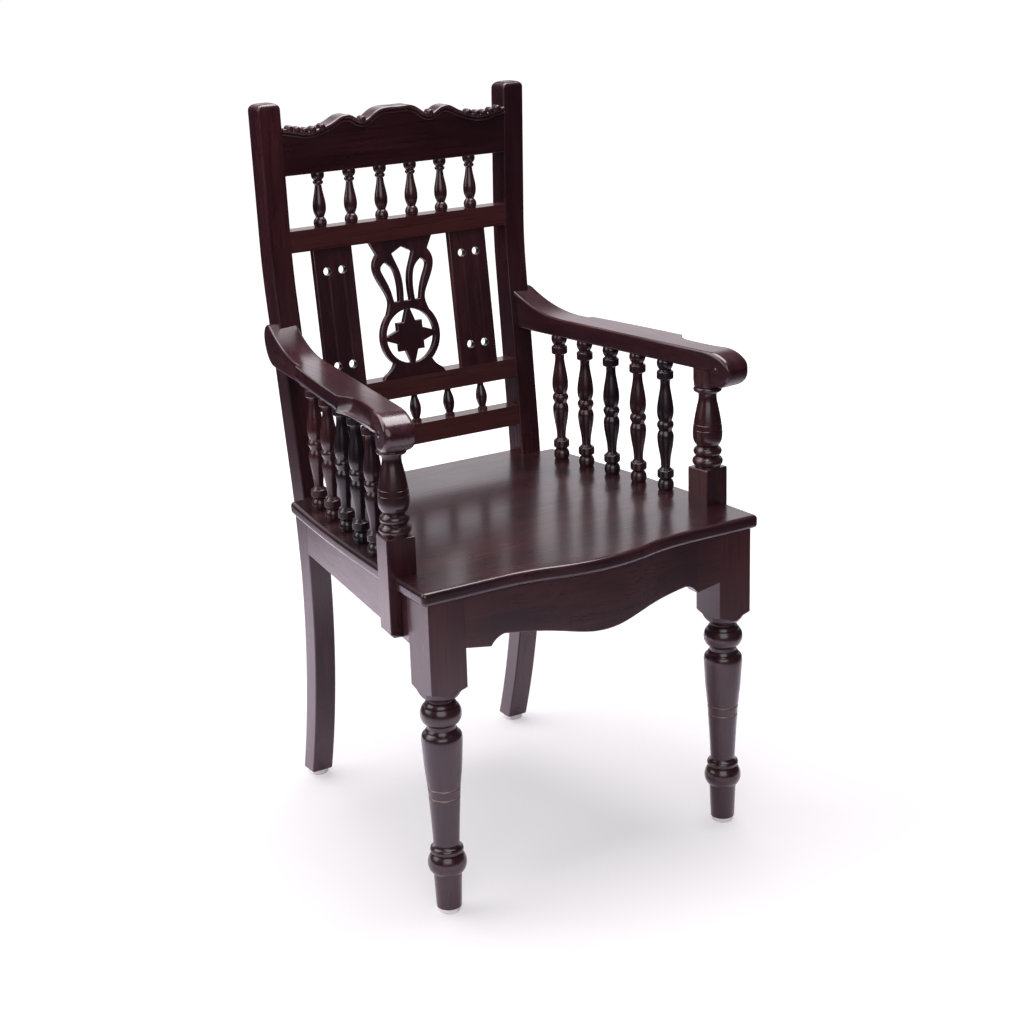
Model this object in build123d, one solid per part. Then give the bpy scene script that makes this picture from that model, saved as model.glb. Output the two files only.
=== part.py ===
from build123d import *
import math
import os

os.makedirs("parts", exist_ok=True)

# Carved wooden armchair. Millimetres, Z up, front of the chair towards -Y,
# X towards the right of someone facing the chair.

# Heights
seat_top = 455.0
chair_height = 1001.0
glide_height = 8.0

# Seat panel
seat_thickness = 18.0
seat_front = -260.0
seat_bow = 20.5
bow_half_width = 150.0
seat_front_half = 260.5
seat_side_swell = 7.75
seat_rear_half = 221.0
seat_back_edge = 218.0
seat_corner = 4.0
seat_edge_round = 5.0

# Front legs
seat_side_overhang = 9.3
leg_square = 52.8
seat_front_overhang = 5.5
leg_block_bottom = 317.8
leg_neck_radius = 16.5
leg_ball_radius = 26.8
leg_vase_radius = 26.6
leg_ankle_radius = 17.0
leg_ring_radius = 25.5
leg_toe_radius = 16.5

# Back posts, each one piece from the floor to the top
post_width = 33.0
post_foot_outer = 190.2
post_splay = 0.0206
post_front = 185.4
post_depth = 37.0
post_leg_depth = 31.5
post_foot_front = 236.0
post_foot_depth = 30.0
post_sweep_start = 340.0
post_lean_start = 450.0
lean_end_below_rail = 23.5
post_lean_shift = 41.1
post_top_depth = 35.5
post_top_front_round = 9.0
post_top_rear_round = 12.0
post_top_side_round = 8.0
post_bend_radius = 600.0

# Back rails: the lower two by height above the seat, the upper ones down from the top
rail_thickness = 24.0
rail_setback = 0.5
bottom_rail_low = 45.1
bottom_rail_high = 74.0
lower_rail_low = 116.1
lower_rail_high = 143.8
upper_rail_height = 30.3
crest_spindle_length = 76.0
crest_below_top = 99.2

# Crest outline: half distances and heights above the crest's lower edge
crest_centre_height = 81.0
crest_valley_x = 54.0
crest_valley_height = 66.0
crest_hump_x = 81.0
crest_hump_height = 75.5
crest_dip_x = 140.0
crest_dip_height = 58.0
crest_end_height = 65.0
crest_bead = 6.0
crest_bead_proud = 2.5
crest_lobe_radius = 4.6

# Spindles in the back
crest_spindle_count = 6
crest_spindle_pitch = 48.8
crest_spindle_radius = 9.4
lower_spindle_count = 5
lower_spindle_pitch = 56.3
lower_spindle_radius = 8.2
pin_radius = 4.5
pin_length = 10.0

# Pierced centre splat
splat_thickness = 9.0
splat_setback = 0.5
splat_drawn = 198.3
splat_top_half = 51.0
splat_waist_half = 41.5
splat_bulge_half = 49.0
splat_neck_half = 29.8
splat_ring_height = 58.5
splat_ring_outer = 48.6
splat_ring_inner = 39.0
splat_foot_half = 51.0
star_square_half = 20.8
star_arm_half = 10.8
star_tip_half = 2.6
splat_tenon = 8.0

# Side slats
slat_thickness = 10.0
slat_setback = 1.0
slat_centre = 109.6
slat_half = 30.5
slat_hole_radius = 5.7
slat_hole_offset = 11.9
slat_hole_margin = 32.0
slat_groove = 4.4
slat_groove_depth = 1.6

# Aprons under the seat
apron_low = 371.0
apron_thickness = 20.0
front_apron_thickness = 22.0
front_apron_bow = 19.0
front_drop = 354.5
front_arch = 376.0
front_bracket_tip = 363.0
front_bracket_x = 162.0
front_arch_x = 142.0
front_bracket_end = 369.5
rear_apron_front = 197.0
tenon_thickness = 10.0
tenon_length = 18.0
tenon_shoulder = 8.0
rear_tenon_short = 6.0
glue_room = 1.0

# Arms: along the side frame, X outward from the apron's face, Y backward
arm_height = 215.0
arm_thickness = 27.0
arm_inset = 16.5
arm_width = 41.0
arm_wing = 11.5
arm_wing_end = 7.0
arm_wing_start = -84.0
arm_wing_stop = -283.0
arm_wing_lip = 12.0
arm_nose_radius = 24.0
arm_nose_slope = 38.0
arm_nose_centre = -385.0
arm_nose_heel = -378.5
arm_swoop_start = -75.0
arm_rise = 30.0
arm_tip_radius = 17.0
arm_tip_centre = 44.0
arm_heel = 28.0

# Arm posts
arm_post_along = -356.0
arm_post_inward = -2.0
arm_post_width = 39.0
arm_post_depth = 37.0
arm_post_block = 50.0
arm_post_ring_radius = 21.0
arm_post_belly_radius = 20.2
arm_post_neck_radius = 12.3
arm_post_drum_radius = 19.3
arm_post_pin_radius = 9.0
arm_post_pin = 16.0
arm_post_drop = 372.5
arm_post_soft = 7.0

# Arm spindles
arm_spindle_count = 5
arm_spindle_first = -54.0
arm_spindle_pitch = 55.5
arm_spindle_inward = -4.5
arm_spindle_radius = 11.7
arm_spindle_neck = 6.5

# Corner blocks and hardware
corner_block_height = 40.0
corner_block_reach = 46.0
glide_radius = 14.8
nail_radius = 1.4
nail_length = 22.0
screw_radius = 2.2
screw_head_radius = 4.4
corner_screw_length = 42.0
seat_screw_length = 50.0
arm_back_screw_length = 62.0
arm_post_screw_length = 32.0
screw_tip = 6.0
screw_point = 0.4
screw_rim = 0.8
screw_sink = 3.0
lap_screw_low = 20.0
lap_screw_high = 18.0
lap_screw_sink = 1.0

# Derived places
seat_under = seat_top - seat_thickness
arm_top = seat_top + arm_height
arm_under = arm_top - arm_thickness
seat_middle_half = (seat_front_half + seat_rear_half) / 2 + seat_side_swell
leg_outer = seat_front_half - seat_side_overhang
leg_front = seat_front + seat_front_overhang
leg_inner = leg_outer - leg_square
leg_back = leg_front + leg_square
leg_x = leg_outer - leg_square / 2
leg_y = leg_front + leg_square / 2
apron_middle = (apron_low + seat_under) / 2
crest_bottom = chair_height - crest_below_top
upper_high = crest_bottom - crest_spindle_length
upper_low = upper_high - upper_rail_height
post_lean_end = upper_low - lean_end_below_rail
post_lean = post_lean_shift / (post_lean_end - post_lean_start)
far = 700.0


def post_outer(z):
    """Half distance of the back posts' outer face at a height."""
    return post_foot_outer + post_splay * z


def post_inner(z):
    """Half distance of the back posts' inner face at a height."""
    return post_outer(z) - post_width


def back_line(z):
    """Front face of the back posts, before its bends are softened."""
    part_way = min(max(z, post_lean_start), post_lean_end)
    return post_front + (part_way - post_lean_start) * post_lean


def lean_line(z):
    """The leaning plane of the splat and slats, straight past the bend."""
    return post_front + (z - post_lean_start) * post_lean


def polygon(*points):
    return make_face(Polyline(*points, close=True))


def along_x(face, x1, x2):
    """A face drawn in (Y, Z), drawn out from x1 to x2."""
    return Pos(x1, 0, 0) * extrude(Plane.YZ * face, x2 - x1)


def along_y(face, y1, y2):
    """A face drawn in (X, Z), drawn out from y1 to y2."""
    return Pos(0, y2, 0) * extrude(Plane.XZ * face, y2 - y1)


def along_z(face, z1, z2):
    """A face drawn in (X, Y), drawn out from z1 to z2."""
    return Pos(0, 0, z1) * extrude(face, z2 - z1)


def box(x1, x2, y1, y2, z1, z2):
    centre = Pos((x1 + x2) / 2, (y1 + y2) / 2, (z1 + z2) / 2)
    return centre * Box(x2 - x1, y2 - y1, z2 - z1)


def one(shape):
    """The single solid of a finished piece."""
    return max(shape.solids(), key=lambda s: s.volume)


def flip(shape):
    """The same piece for the chair's left side."""
    return mirror(shape, about=Plane.YZ)


def soften(points, radius):
    """A line through points whose inner corners are eased with arcs."""
    edges = []
    here = Vector(*points[0])
    for before, corner, after in zip(points, points[1:], points[2:]):
        c = Vector(*corner)
        u = (Vector(*before) - c).normalized()
        w = (Vector(*after) - c).normalized()
        half = math.radians(u.get_angle(w)) / 2
        run = radius / math.tan(half)
        start = c + u * run
        end = c + w * run
        inward = (u + w).normalized()
        middle = c + inward * (radius / math.sin(half) - radius)
        edges.append(Line(here, start))
        edges.append(ThreePointArc(start, middle, end))
        here = end
    edges.append(Line(here, Vector(*points[-1])))
    return edges


def turned(start, moves):
    """A turned solid on the Z axis from a list of lines, arcs and curves of (radius, height)."""
    edges = [Line((0, start[1]), start)]
    here = start
    for kind, *points in moves:
        if kind == "line":
            edges.append(Line(here, points[-1]))
        elif kind == "arc":
            edges.append(ThreePointArc(here, points[0], points[1]))
        else:
            edges.append(Spline(here, *points))
        here = points[-1]
    edges.append(Line(here, (0, here[1])))
    edges.append(Line((0, here[1]), (0, start[1])))
    return revolve(Plane.XZ * make_face(edges), Axis.Z)


# The frame of the right side: its origin is the rear end of the side apron's outer face
side_x = post_outer(apron_middle)
side_angle = math.degrees(math.atan2(leg_outer - side_x, post_front - leg_back))
side_frame = Location((side_x, post_front, 0), (0, 0, side_angle))


# Back posts
front_edge = soften(
    [
        (post_front, post_sweep_start),
        (post_front, post_lean_start),
        (post_front + post_lean_shift, post_lean_end),
        (post_front + post_lean_shift, chair_height - post_top_front_round),
    ],
    post_bend_radius,
)
rear_edge = soften(
    [
        (post_front + post_lean_shift + post_top_depth, chair_height - post_top_rear_round),
        (post_front + post_lean_shift + post_top_depth, post_lean_end),
        (post_front + post_depth, post_lean_start),
        (post_front + post_leg_depth, post_sweep_start),
    ],
    post_bend_radius,
)
post_top_front = post_front + post_lean_shift
post_top_rear = post_top_front + post_top_depth
foot_middle = (post_sweep_start + glide_height) / 2
foot_run = post_foot_front - post_front
foot_rear_run = foot_run + post_foot_depth - post_leg_depth
post_side = make_face(
    [
        *front_edge,
        CenterArc(
            (post_top_front + post_top_front_round, chair_height - post_top_front_round),
            post_top_front_round,
            start_angle=90,
            arc_size=90,
        ),
        Line(
            (post_top_front + post_top_front_round, chair_height),
            (post_top_rear - post_top_rear_round, chair_height),
        ),
        CenterArc(
            (post_top_rear - post_top_rear_round, chair_height - post_top_rear_round),
            post_top_rear_round,
            start_angle=0,
            arc_size=90,
        ),
        *rear_edge,
        ThreePointArc(
            (post_front + post_leg_depth, post_sweep_start),
            (post_front + post_leg_depth + foot_rear_run * 0.26, foot_middle),
            (post_foot_front + post_foot_depth, glide_height),
        ),
        Line((post_foot_front + post_foot_depth, glide_height), (post_foot_front, glide_height)),
        ThreePointArc(
            (post_foot_front, glide_height),
            (post_front + foot_run * 0.25, foot_middle),
            (post_front, post_sweep_start),
        ),
    ]
)
post_shoulder = chair_height - post_top_side_round
post_top_turn = post_top_side_round * (1 - math.sqrt(0.5))
post_outline = make_face(
    [
        Line((post_inner(0), 0), (post_outer(0), 0)),
        Line((post_outer(0), 0), (post_outer(post_shoulder), post_shoulder)),
        ThreePointArc(
            (post_outer(post_shoulder), post_shoulder),
            (post_outer(post_shoulder) - post_top_turn, chair_height - post_top_turn),
            (post_outer(post_shoulder) - post_top_side_round, chair_height),
        ),
        Line(
            (post_outer(post_shoulder) - post_top_side_round, chair_height),
            (post_inner(post_shoulder) + post_top_side_round, chair_height),
        ),
        ThreePointArc(
            (post_inner(post_shoulder) + post_top_side_round, chair_height),
            (post_inner(post_shoulder) + post_top_turn, chair_height - post_top_turn),
            (post_inner(post_shoulder), post_shoulder),
        ),
        Line((post_inner(post_shoulder), post_shoulder), (post_inner(0), 0)),
    ]
)
post_right = along_x(post_side, 0, far) & along_y(post_outline, 0, far)

# Everything behind the post's front and inside its outer face, where the arm is cut away
post_zone_outline = polygon(
    (0, 0),
    (post_outer(0), 0),
    (post_outer(chair_height + 10), chair_height + 10),
    (0, chair_height + 10),
)
zone_side = make_face(
    [
        *front_edge,
        Line(
            (post_front + post_lean_shift, chair_height - post_top_front_round),
            (far, chair_height - post_top_front_round),
        ),
        Line((far, chair_height - post_top_front_round), (far, post_sweep_start)),
        Line((far, post_sweep_start), (post_front, post_sweep_start)),
    ]
)
post_zone = along_x(zone_side, 0, far) & along_y(post_zone_outline, 0, far)


# Rails of the back, with a stub tenon at each end
def rail_section(low, high, inset, margin):
    """Section of a rail in (Y, Z); inset and margin shrink it to its tenon."""
    front_low = back_line(low) + rail_setback
    front_high = back_line(high) + rail_setback
    slope = (front_high - front_low) / (high - low)
    z1 = low + margin
    z2 = high - margin
    y1 = front_low + slope * margin + inset
    y2 = front_high - slope * margin + inset
    deep = rail_thickness - 2 * inset
    return polygon((y1, z1), (y2, z2), (y2 + deep, z2), (y1 + deep, z1))


def rail_tenon(low, high, extra):
    reach = post_inner((low + high) / 2) + tenon_length + extra
    section = rail_section(low, high, (rail_thickness - tenon_thickness) / 2, tenon_shoulder)
    return along_x(section, -reach, reach)


def back_rail(low, high):
    between = polygon(
        (-post_inner(low), low),
        (post_inner(low), low),
        (post_inner(high), high),
        (-post_inner(high), high),
    )
    body = along_x(rail_section(low, high, 0, 0), -far, far) & along_y(between, 0, far)
    return body + rail_tenon(low, high, 0)


bottom_low = seat_top + bottom_rail_low
bottom_high = seat_top + bottom_rail_high
lower_low = seat_top + lower_rail_low
lower_high = seat_top + lower_rail_high
bottom_rail = back_rail(bottom_low, bottom_high)
lower_rail = back_rail(lower_low, lower_high)
upper_rail = back_rail(upper_low, upper_high)

# Crest rail: scalloped top edge with a raised bead and small carved lobes
crest_front = post_front + post_lean_shift + rail_setback
crest_end = post_inner(crest_bottom + crest_end_height)
crest_half = [
    (crest_end, crest_end_height),
    (1.114 * crest_dip_x, 1.052 * crest_dip_height),
    (crest_dip_x, crest_dip_height),
    (0.843 * crest_dip_x, 1.06 * crest_dip_height),
    (1.16 * crest_hump_x, 0.934 * crest_hump_height),
    (crest_hump_x, crest_hump_height),
    (0.827 * crest_hump_x, 0.934 * crest_hump_height),
    (crest_valley_x, crest_valley_height),
    (0.63 * crest_valley_x, 0.938 * crest_centre_height),
    (0.426 * crest_valley_x, 0.993 * crest_centre_height),
    (0, crest_centre_height),
]


def crest_curve(drop):
    right = [(x, crest_bottom + z - drop) for x, z in crest_half]
    left = [(-x, z) for x, z in reversed(right[:-1])]
    return Spline(*right, *left)


crest_tall = crest_bottom + crest_centre_height
crest_top_end = crest_bottom + crest_end_height
crest_face = make_face(
    [
        crest_curve(0),
        Line((-crest_end, crest_top_end), (-post_inner(crest_bottom), crest_bottom)),
        Line((-post_inner(crest_bottom), crest_bottom), (post_inner(crest_bottom), crest_bottom)),
        Line((post_inner(crest_bottom), crest_bottom), (crest_end, crest_top_end)),
    ]
)
bead_face = make_face(
    [
        crest_curve(0),
        Line((-crest_end, crest_top_end), (-crest_end, crest_top_end - crest_bead)),
        crest_curve(crest_bead),
        Line((crest_end, crest_top_end - crest_bead), (crest_end, crest_top_end)),
    ]
)
crest = along_y(crest_face, crest_front, crest_front + rail_thickness)
crest = crest + along_y(bead_face, crest_front - crest_bead_proud, crest_front + 2)
lobes = [
    (crest_valley_x, crest_valley_height),
    (0.836 * crest_dip_x, 1.052 * crest_dip_height),
    (0.936 * crest_dip_x, 1.009 * crest_dip_height),
    (1.021 * crest_dip_x, crest_dip_height),
]
for lobe_x, lobe_z in lobes:
    for side in (1, -1):
        spot = Pos(side * lobe_x, crest_front + rail_thickness / 2 - 1, crest_bottom + lobe_z)
        crest = crest + spot * Rot(90, 0, 0) * Cylinder(crest_lobe_radius, rail_thickness)


def crest_tenon(extra):
    middle = crest_bottom + crest_dip_height / 2
    reach = post_inner(middle) + tenon_length + extra
    y1 = crest_front + (rail_thickness - tenon_thickness) / 2
    z1 = crest_bottom + tenon_shoulder
    z2 = crest_bottom + crest_dip_height - tenon_shoulder
    return box(-reach, reach, y1, y1 + tenon_thickness, z1, z2)


crest_bay = polygon(
    (-post_inner(crest_bottom), crest_bottom),
    (post_inner(crest_bottom), crest_bottom),
    (post_inner(crest_tall + 10), crest_tall + 10),
    (-post_inner(crest_tall + 10), crest_tall + 10),
)
crest = (crest & along_y(crest_bay, 0, far)) + crest_tenon(0)

# Turned spindles between the upper rail and the crest
rail_middle_y = crest_front + rail_thickness / 2


def crest_spindle_solid(length):
    r = crest_spindle_radius
    profile = [
        ("line", (r, 0.02 * length)),
        ("line", (r, 0.13 * length)),
        ("line", (0.9 * r, 0.15 * length)),
        ("line", (0.66 * r, 0.165 * length)),
        ("line", (0.66 * r, 0.19 * length)),
        ("spline", (0.93 * r, 0.32 * length), (0.8 * r, 0.48 * length), (0.55 * r, 0.68 * length),
         (0.49 * r, 0.74 * length)),
        ("line", (0.74 * r, 0.765 * length)),
        ("arc", (0.87 * r, 0.8 * length), (0.74 * r, 0.83 * length)),
        ("line", (0.72 * r, 0.84 * length)),
        ("spline", (0.9 * r, 0.9 * length), (1.03 * r, 0.96 * length), (r, length)),
    ]
    return turned((0.95 * r, 0), profile)


def pin(low, high):
    return Pos(0, 0, (low + high) / 2) * Cylinder(pin_radius, high - low)


crest_spindles = []
crest_pins = []
crest_gap = crest_bottom - upper_high
for index in range(crest_spindle_count):
    x = (index - (crest_spindle_count - 1) / 2) * crest_spindle_pitch
    place = Pos(x, rail_middle_y, upper_high)
    shape = crest_spindle_solid(crest_gap) + pin(-pin_length, crest_gap + pin_length)
    crest_spindles.append(place * shape)
    crest_pins.append(place * pin(-pin_length - glue_room, crest_gap + pin_length + glue_room))

# Turned spindles between the bottom rail and the lower rail, leaning with the back
lower_gap = lower_low - bottom_high
lean_degrees = math.degrees(math.atan(post_lean))


def lower_spindle_solid(length):
    r = lower_spindle_radius
    profile = [
        ("line", (0.86 * r, 0.1 * length)),
        ("line", (0.6 * r, 0.13 * length)),
        ("spline", (r, 0.42 * length), (0.9 * r, 0.66 * length), (0.56 * r, 0.88 * length)),
        ("line", (0.6 * r, 1.08 * length)),
    ]
    return turned((0.86 * r, -0.08 * length), profile)


lower_spindles = []
lower_pins = []
lower_slice = box(-far, far, 0, far, bottom_high, lower_low)
lower_y = back_line(bottom_high) + rail_setback + rail_thickness / 2
for index in range(lower_spindle_count):
    x = (index - (lower_spindle_count - 1) / 2) * lower_spindle_pitch
    place = Pos(x, lower_y, bottom_high) * Rot(-lean_degrees, 0, 0)
    body = (place * lower_spindle_solid(lower_gap)) & lower_slice
    lower_spindles.append(body + place * pin(-pin_length, lower_gap + pin_length))
    lower_pins.append(place * pin(-pin_length - glue_room, lower_gap + pin_length + glue_room))

# Pierced splat and the two slats, on the leaning plane of the back
splat_tall = (upper_low - lower_high) / math.cos(math.radians(lean_degrees))


def lean_plane(setback):
    """Plane of a leaning board's front face, its origin on the lower rail."""
    along = Vector(0, post_lean, 1).normalized()
    origin = Vector(0, lean_line(lower_high) + rail_setback + setback, lower_high)
    return Plane(origin=origin, x_dir=(1, 0, 0), z_dir=Vector(1, 0, 0).cross(along))


back_gap = box(-far, far, 0, far, lower_high, upper_low)
over = 0.75 * splat_tenon
t = splat_tall
w = splat_top_half
stretch = t / splat_drawn
v = w * stretch
ring_height = splat_ring_height * stretch
ring_outer = splat_ring_outer * stretch
ring_inner = splat_ring_inner * stretch
star_half = star_square_half * stretch
waist_z = t - 0.359 * v
outer_curve = Spline(
    (splat_waist_half, waist_z),
    (0.959 * splat_bulge_half, waist_z - 0.167 * v),
    (splat_bulge_half, waist_z - 0.353 * v),
    (0.945 * splat_bulge_half, waist_z - 0.608 * v),
    (1.349 * splat_neck_half, waist_z - 0.863 * v),
    (1.114 * splat_neck_half, waist_z - 1.125 * v),
    (splat_neck_half, waist_z - 1.373 * v),
    (1.04 * splat_neck_half, waist_z - 1.514 * v),
    (1.191 * splat_neck_half, waist_z - 1.745 * v),
)
upper_half = make_face(
    [
        outer_curve,
        Line((1.191 * splat_neck_half, waist_z - 1.745 * v), (0, waist_z - 1.745 * v)),
        Line((0, waist_z - 1.745 * v), (0, t + over)),
        Line((0, t + over), (splat_top_half, t + over)),
        Line((splat_top_half, t + over), (splat_top_half, t)),
        Line((splat_top_half, t), (splat_waist_half, waist_z)),
    ]
)
foot_turn = ring_outer * 0.65
foot_rise = ring_height - ring_outer * math.sqrt(1 - 0.65 ** 2)
foot_half = make_face(
    [
        Line((0, -over), (splat_foot_half, -over)),
        Line((splat_foot_half, -over), (splat_foot_half, 0)),
        ThreePointArc(
            (splat_foot_half, 0),
            (0.953 * splat_foot_half, foot_rise * 0.213),
            (0.843 * splat_foot_half, foot_rise * 0.412),
        ),
        ThreePointArc(
            (0.843 * splat_foot_half, foot_rise * 0.412),
            (0.718 * splat_foot_half, foot_rise * 0.657),
            (foot_turn, foot_rise),
        ),
        Line((foot_turn, foot_rise), (0, foot_rise)),
        Line((0, foot_rise), (0, -over)),
    ]
)
tear = make_face(
    [
        Spline(
            (0.263 * w, t - 1.735 * v),
            (0.245 * w, t - 1.418 * v),
            (0.275 * w, t - 1.051 * v),
            (0.357 * w, t - 0.81 * v),
            (0.575 * w, t - 0.602 * v),
        ),
        Spline(
            (0.575 * w, t - 0.602 * v),
            (0.726 * w, t - 0.751 * v),
            (0.678 * w, t - 0.937 * v),
            (0.51 * w, t - 1.32 * v),
            (0.408 * w, t - 1.735 * v),
        ),
        Line((0.408 * w, t - 1.735 * v), (0.263 * w, t - 1.735 * v)),
    ]
)
notch = make_face(
    [
        Line((0, t - 0.216 * v), (0.331 * w, t - 0.386 * v)),
        Spline(
            (0.331 * w, t - 0.386 * v),
            (0.259 * w, t - 0.575 * v),
            (0.141 * w, t - 0.878 * v),
            (0.077 * w, t - 1.32 * v),
            (0.098 * w, t - 1.735 * v),
        ),
        Line((0.098 * w, t - 1.735 * v), (0, t - 1.735 * v)),
        Line((0, t - 1.735 * v), (0, t - 0.216 * v)),
    ]
)
ring_place = Pos(0, ring_height)
star = Rectangle(2 * star_half, 2 * star_half)
arm_out = 1.05 * ring_inner
for quarter in range(4):
    ray = polygon(
        (0.9 * star_half, -star_arm_half * stretch),
        (arm_out, -star_tip_half * stretch),
        (arm_out, star_tip_half * stretch),
        (0.9 * star_half, star_arm_half * stretch),
    )
    star = star + Rot(0, 0, 90 * quarter) * ray
hoop = Circle(ring_outer) - Circle(ring_inner) + star
half = upper_half + foot_half - ring_place * Circle((ring_outer + ring_inner) / 2)
half = half - tear - notch
splat_sketch = half + mirror(half, about=Plane.YZ) + ring_place * hoop
splat_board = extrude(lean_plane(splat_setback) * splat_sketch, -splat_thickness) & back_gap


def lean_tenon(centre, half_width, setback, thickness, low, high):
    """Tongue of a leaning board, thinner than the board, from low to high up its length."""
    face = Pos(centre, (low + high) / 2) * Rectangle(2 * half_width, high - low)
    return extrude(lean_plane(setback + thickness / 4) * face, -thickness / 2)


def tongues(centre, half_top, half_foot, setback, thickness, extra):
    deep = splat_tenon + extra
    top = lean_tenon(centre, half_top, setback, thickness, t - 3, t + deep)
    foot = lean_tenon(centre, half_foot, setback, thickness, -deep, 3)
    return top + foot


splat_keys = (0, 0.79 * splat_top_half, 0.72 * splat_foot_half, splat_setback, splat_thickness)
splat = splat_board + tongues(*splat_keys, 0)
splat_cut = tongues(*splat_keys, glue_room)


def slat(centre):
    board = Pos(centre, t / 2) * Rectangle(2 * slat_half, t + 2 * over)
    for side in (1, -1):
        for height in (slat_hole_margin, t - slat_hole_margin):
            board = board - Pos(centre + side * slat_hole_offset, height) * Circle(slat_hole_radius)
    solid = extrude(lean_plane(slat_setback) * board, -slat_thickness) & back_gap
    for side in (1, -1):
        line = Pos(centre + side * slat_hole_offset, t / 2)
        groove = line * Rectangle(slat_groove, t - 2 * slat_hole_margin)
        solid = solid - extrude(lean_plane(slat_setback) * groove, -slat_groove_depth)
    return solid


slat_keys = (0.74 * slat_half, 0.74 * slat_half, slat_setback, slat_thickness)
slat_right = slat(slat_centre) + tongues(slat_centre, *slat_keys, 0)
slat_left = flip(slat_right)
slat_cut = tongues(slat_centre, *slat_keys, glue_room)
slat_cuts = slat_cut + flip(slat_cut)


# Serpentine front line shared by the seat and the apron below it
def serpentine(y_flat, bow, half_line):
    """Edges from +half_line to -half_line: flat ends and an ogee swelling in the middle."""
    w = bow_half_width
    quarter = w / 2
    radius = (quarter ** 2 + (bow / 2) ** 2) / bow
    dip = radius - math.sqrt(radius ** 2 - (quarter / 2) ** 2)
    side_mid = (quarter * 1.5, y_flat - dip)
    return [
        Line((half_line, y_flat), (w, y_flat)),
        ThreePointArc((w, y_flat), side_mid, (quarter, y_flat - bow / 2)),
        ThreePointArc((quarter, y_flat - bow / 2), (0, y_flat - bow), (-quarter, y_flat - bow / 2)),
        ThreePointArc((-quarter, y_flat - bow / 2), (-side_mid[0], side_mid[1]), (-w, y_flat)),
        Line((-w, y_flat), (-half_line, y_flat)),
    ]


# Seat panel
seat_rear = post_front + 2.0
side_mid_y = (seat_front + seat_rear) / 2
side_bulge = (seat_middle_half, side_mid_y)
seat_main = make_face(
    [
        *serpentine(seat_front, seat_bow, seat_front_half),
        ThreePointArc((-seat_front_half, seat_front), (-side_bulge[0], side_mid_y),
                      (-seat_rear_half, seat_rear)),
        Line((-seat_rear_half, seat_rear), (seat_rear_half, seat_rear)),
        ThreePointArc((seat_rear_half, seat_rear), side_bulge, (seat_front_half, seat_front)),
    ]
)
seat_corners = seat_main.vertices().filter_by(lambda v: abs(v.X) > seat_rear_half - 1)
seat_main = fillet(seat_corners, seat_corner)
seat_body = along_z(seat_main, seat_under, seat_top)
rim = seat_body.faces().filter_by(Axis.Z).sort_by(Axis.Z)
seat_body = fillet(rim[-1].edges(), seat_edge_round)
rim = seat_body.faces().filter_by(Axis.Z).sort_by(Axis.Z)
seat_body = fillet(rim[0].edges(), seat_edge_round + 3)
tongue_half = post_inner(seat_top) + 1.0
tongue = box(-tongue_half, tongue_half, post_front - 30, seat_back_edge, seat_under, seat_top)
seat = seat_body + tongue

# Front apron: serpentine face, shaped lower edge
apron_plan = make_face(
    [
        *serpentine(leg_front, front_apron_bow, leg_inner),
        Line((-leg_inner, leg_front), (-leg_inner, leg_front + front_apron_thickness)),
        Line((-leg_inner, leg_front + front_apron_thickness),
             (leg_inner, leg_front + front_apron_thickness)),
        Line((leg_inner, leg_front + front_apron_thickness), (leg_inner, leg_front)),
    ]
)
drop_mid = (front_arch + front_drop) / 2
apron_lower = [
    Line((leg_inner, front_bracket_end), (front_bracket_x, front_bracket_tip)),
    ThreePointArc(
        (front_bracket_x, front_bracket_tip),
        (front_bracket_x - 7, front_arch - 5.5),
        (front_arch_x, front_arch),
    ),
    Spline(
        (front_arch_x, front_arch),
        (front_arch_x * 0.69, drop_mid + 5),
        (front_arch_x * 0.41, drop_mid - 1.8),
        (front_arch_x * 0.17, front_drop + 1.8),
        (0, front_drop),
        (-front_arch_x * 0.17, front_drop + 1.8),
        (-front_arch_x * 0.41, drop_mid - 1.8),
        (-front_arch_x * 0.69, drop_mid + 5),
        (-front_arch_x, front_arch),
    ),
    ThreePointArc(
        (-front_arch_x, front_arch),
        (-front_bracket_x + 7, front_arch - 5.5),
        (-front_bracket_x, front_bracket_tip),
    ),
    Line((-front_bracket_x, front_bracket_tip), (-leg_inner, front_bracket_end)),
    Line((-leg_inner, front_bracket_end), (-leg_inner, seat_under)),
    Line((-leg_inner, seat_under), (leg_inner, seat_under)),
    Line((leg_inner, seat_under), (leg_inner, front_bracket_end)),
]
front_apron = along_z(apron_plan, front_drop - 10, seat_under)
front_apron = front_apron & along_y(make_face(apron_lower), -far, 0)


def cross_tenon(y_middle, x_face, low, high, extra):
    reach = x_face + tenon_length + extra
    y1 = y_middle - tenon_thickness / 2
    return box(-reach, reach, y1, y1 + tenon_thickness, low + tenon_shoulder, high - tenon_shoulder)


front_tenon_y = leg_front + front_apron_thickness / 2
front_keys = (front_tenon_y, leg_inner, front_arch, seat_under)
front_tenon_ends = box(-far, far, leg_front - 60, 0, 0, far) - box(-leg_inner, leg_inner, -far, 0, 0, far)
front_tenons = cross_tenon(*front_keys, 0) & front_tenon_ends
front_apron = front_apron + front_tenons
front_cut = cross_tenon(*front_keys, glue_room) & front_tenon_ends

# Rear apron between the posts
rear_between = polygon(
    (-post_inner(apron_low), apron_low),
    (post_inner(apron_low), apron_low),
    (post_inner(seat_under), seat_under),
    (-post_inner(seat_under), seat_under),
)
rear_apron = along_y(rear_between, rear_apron_front, rear_apron_front + apron_thickness)
rear_keys = (rear_apron_front + apron_thickness / 2, post_inner(apron_middle), apron_low, seat_under)
rear_apron = rear_apron + cross_tenon(*rear_keys, -rear_tenon_short)
rear_cut = cross_tenon(*rear_keys, glue_room - rear_tenon_short)

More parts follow.
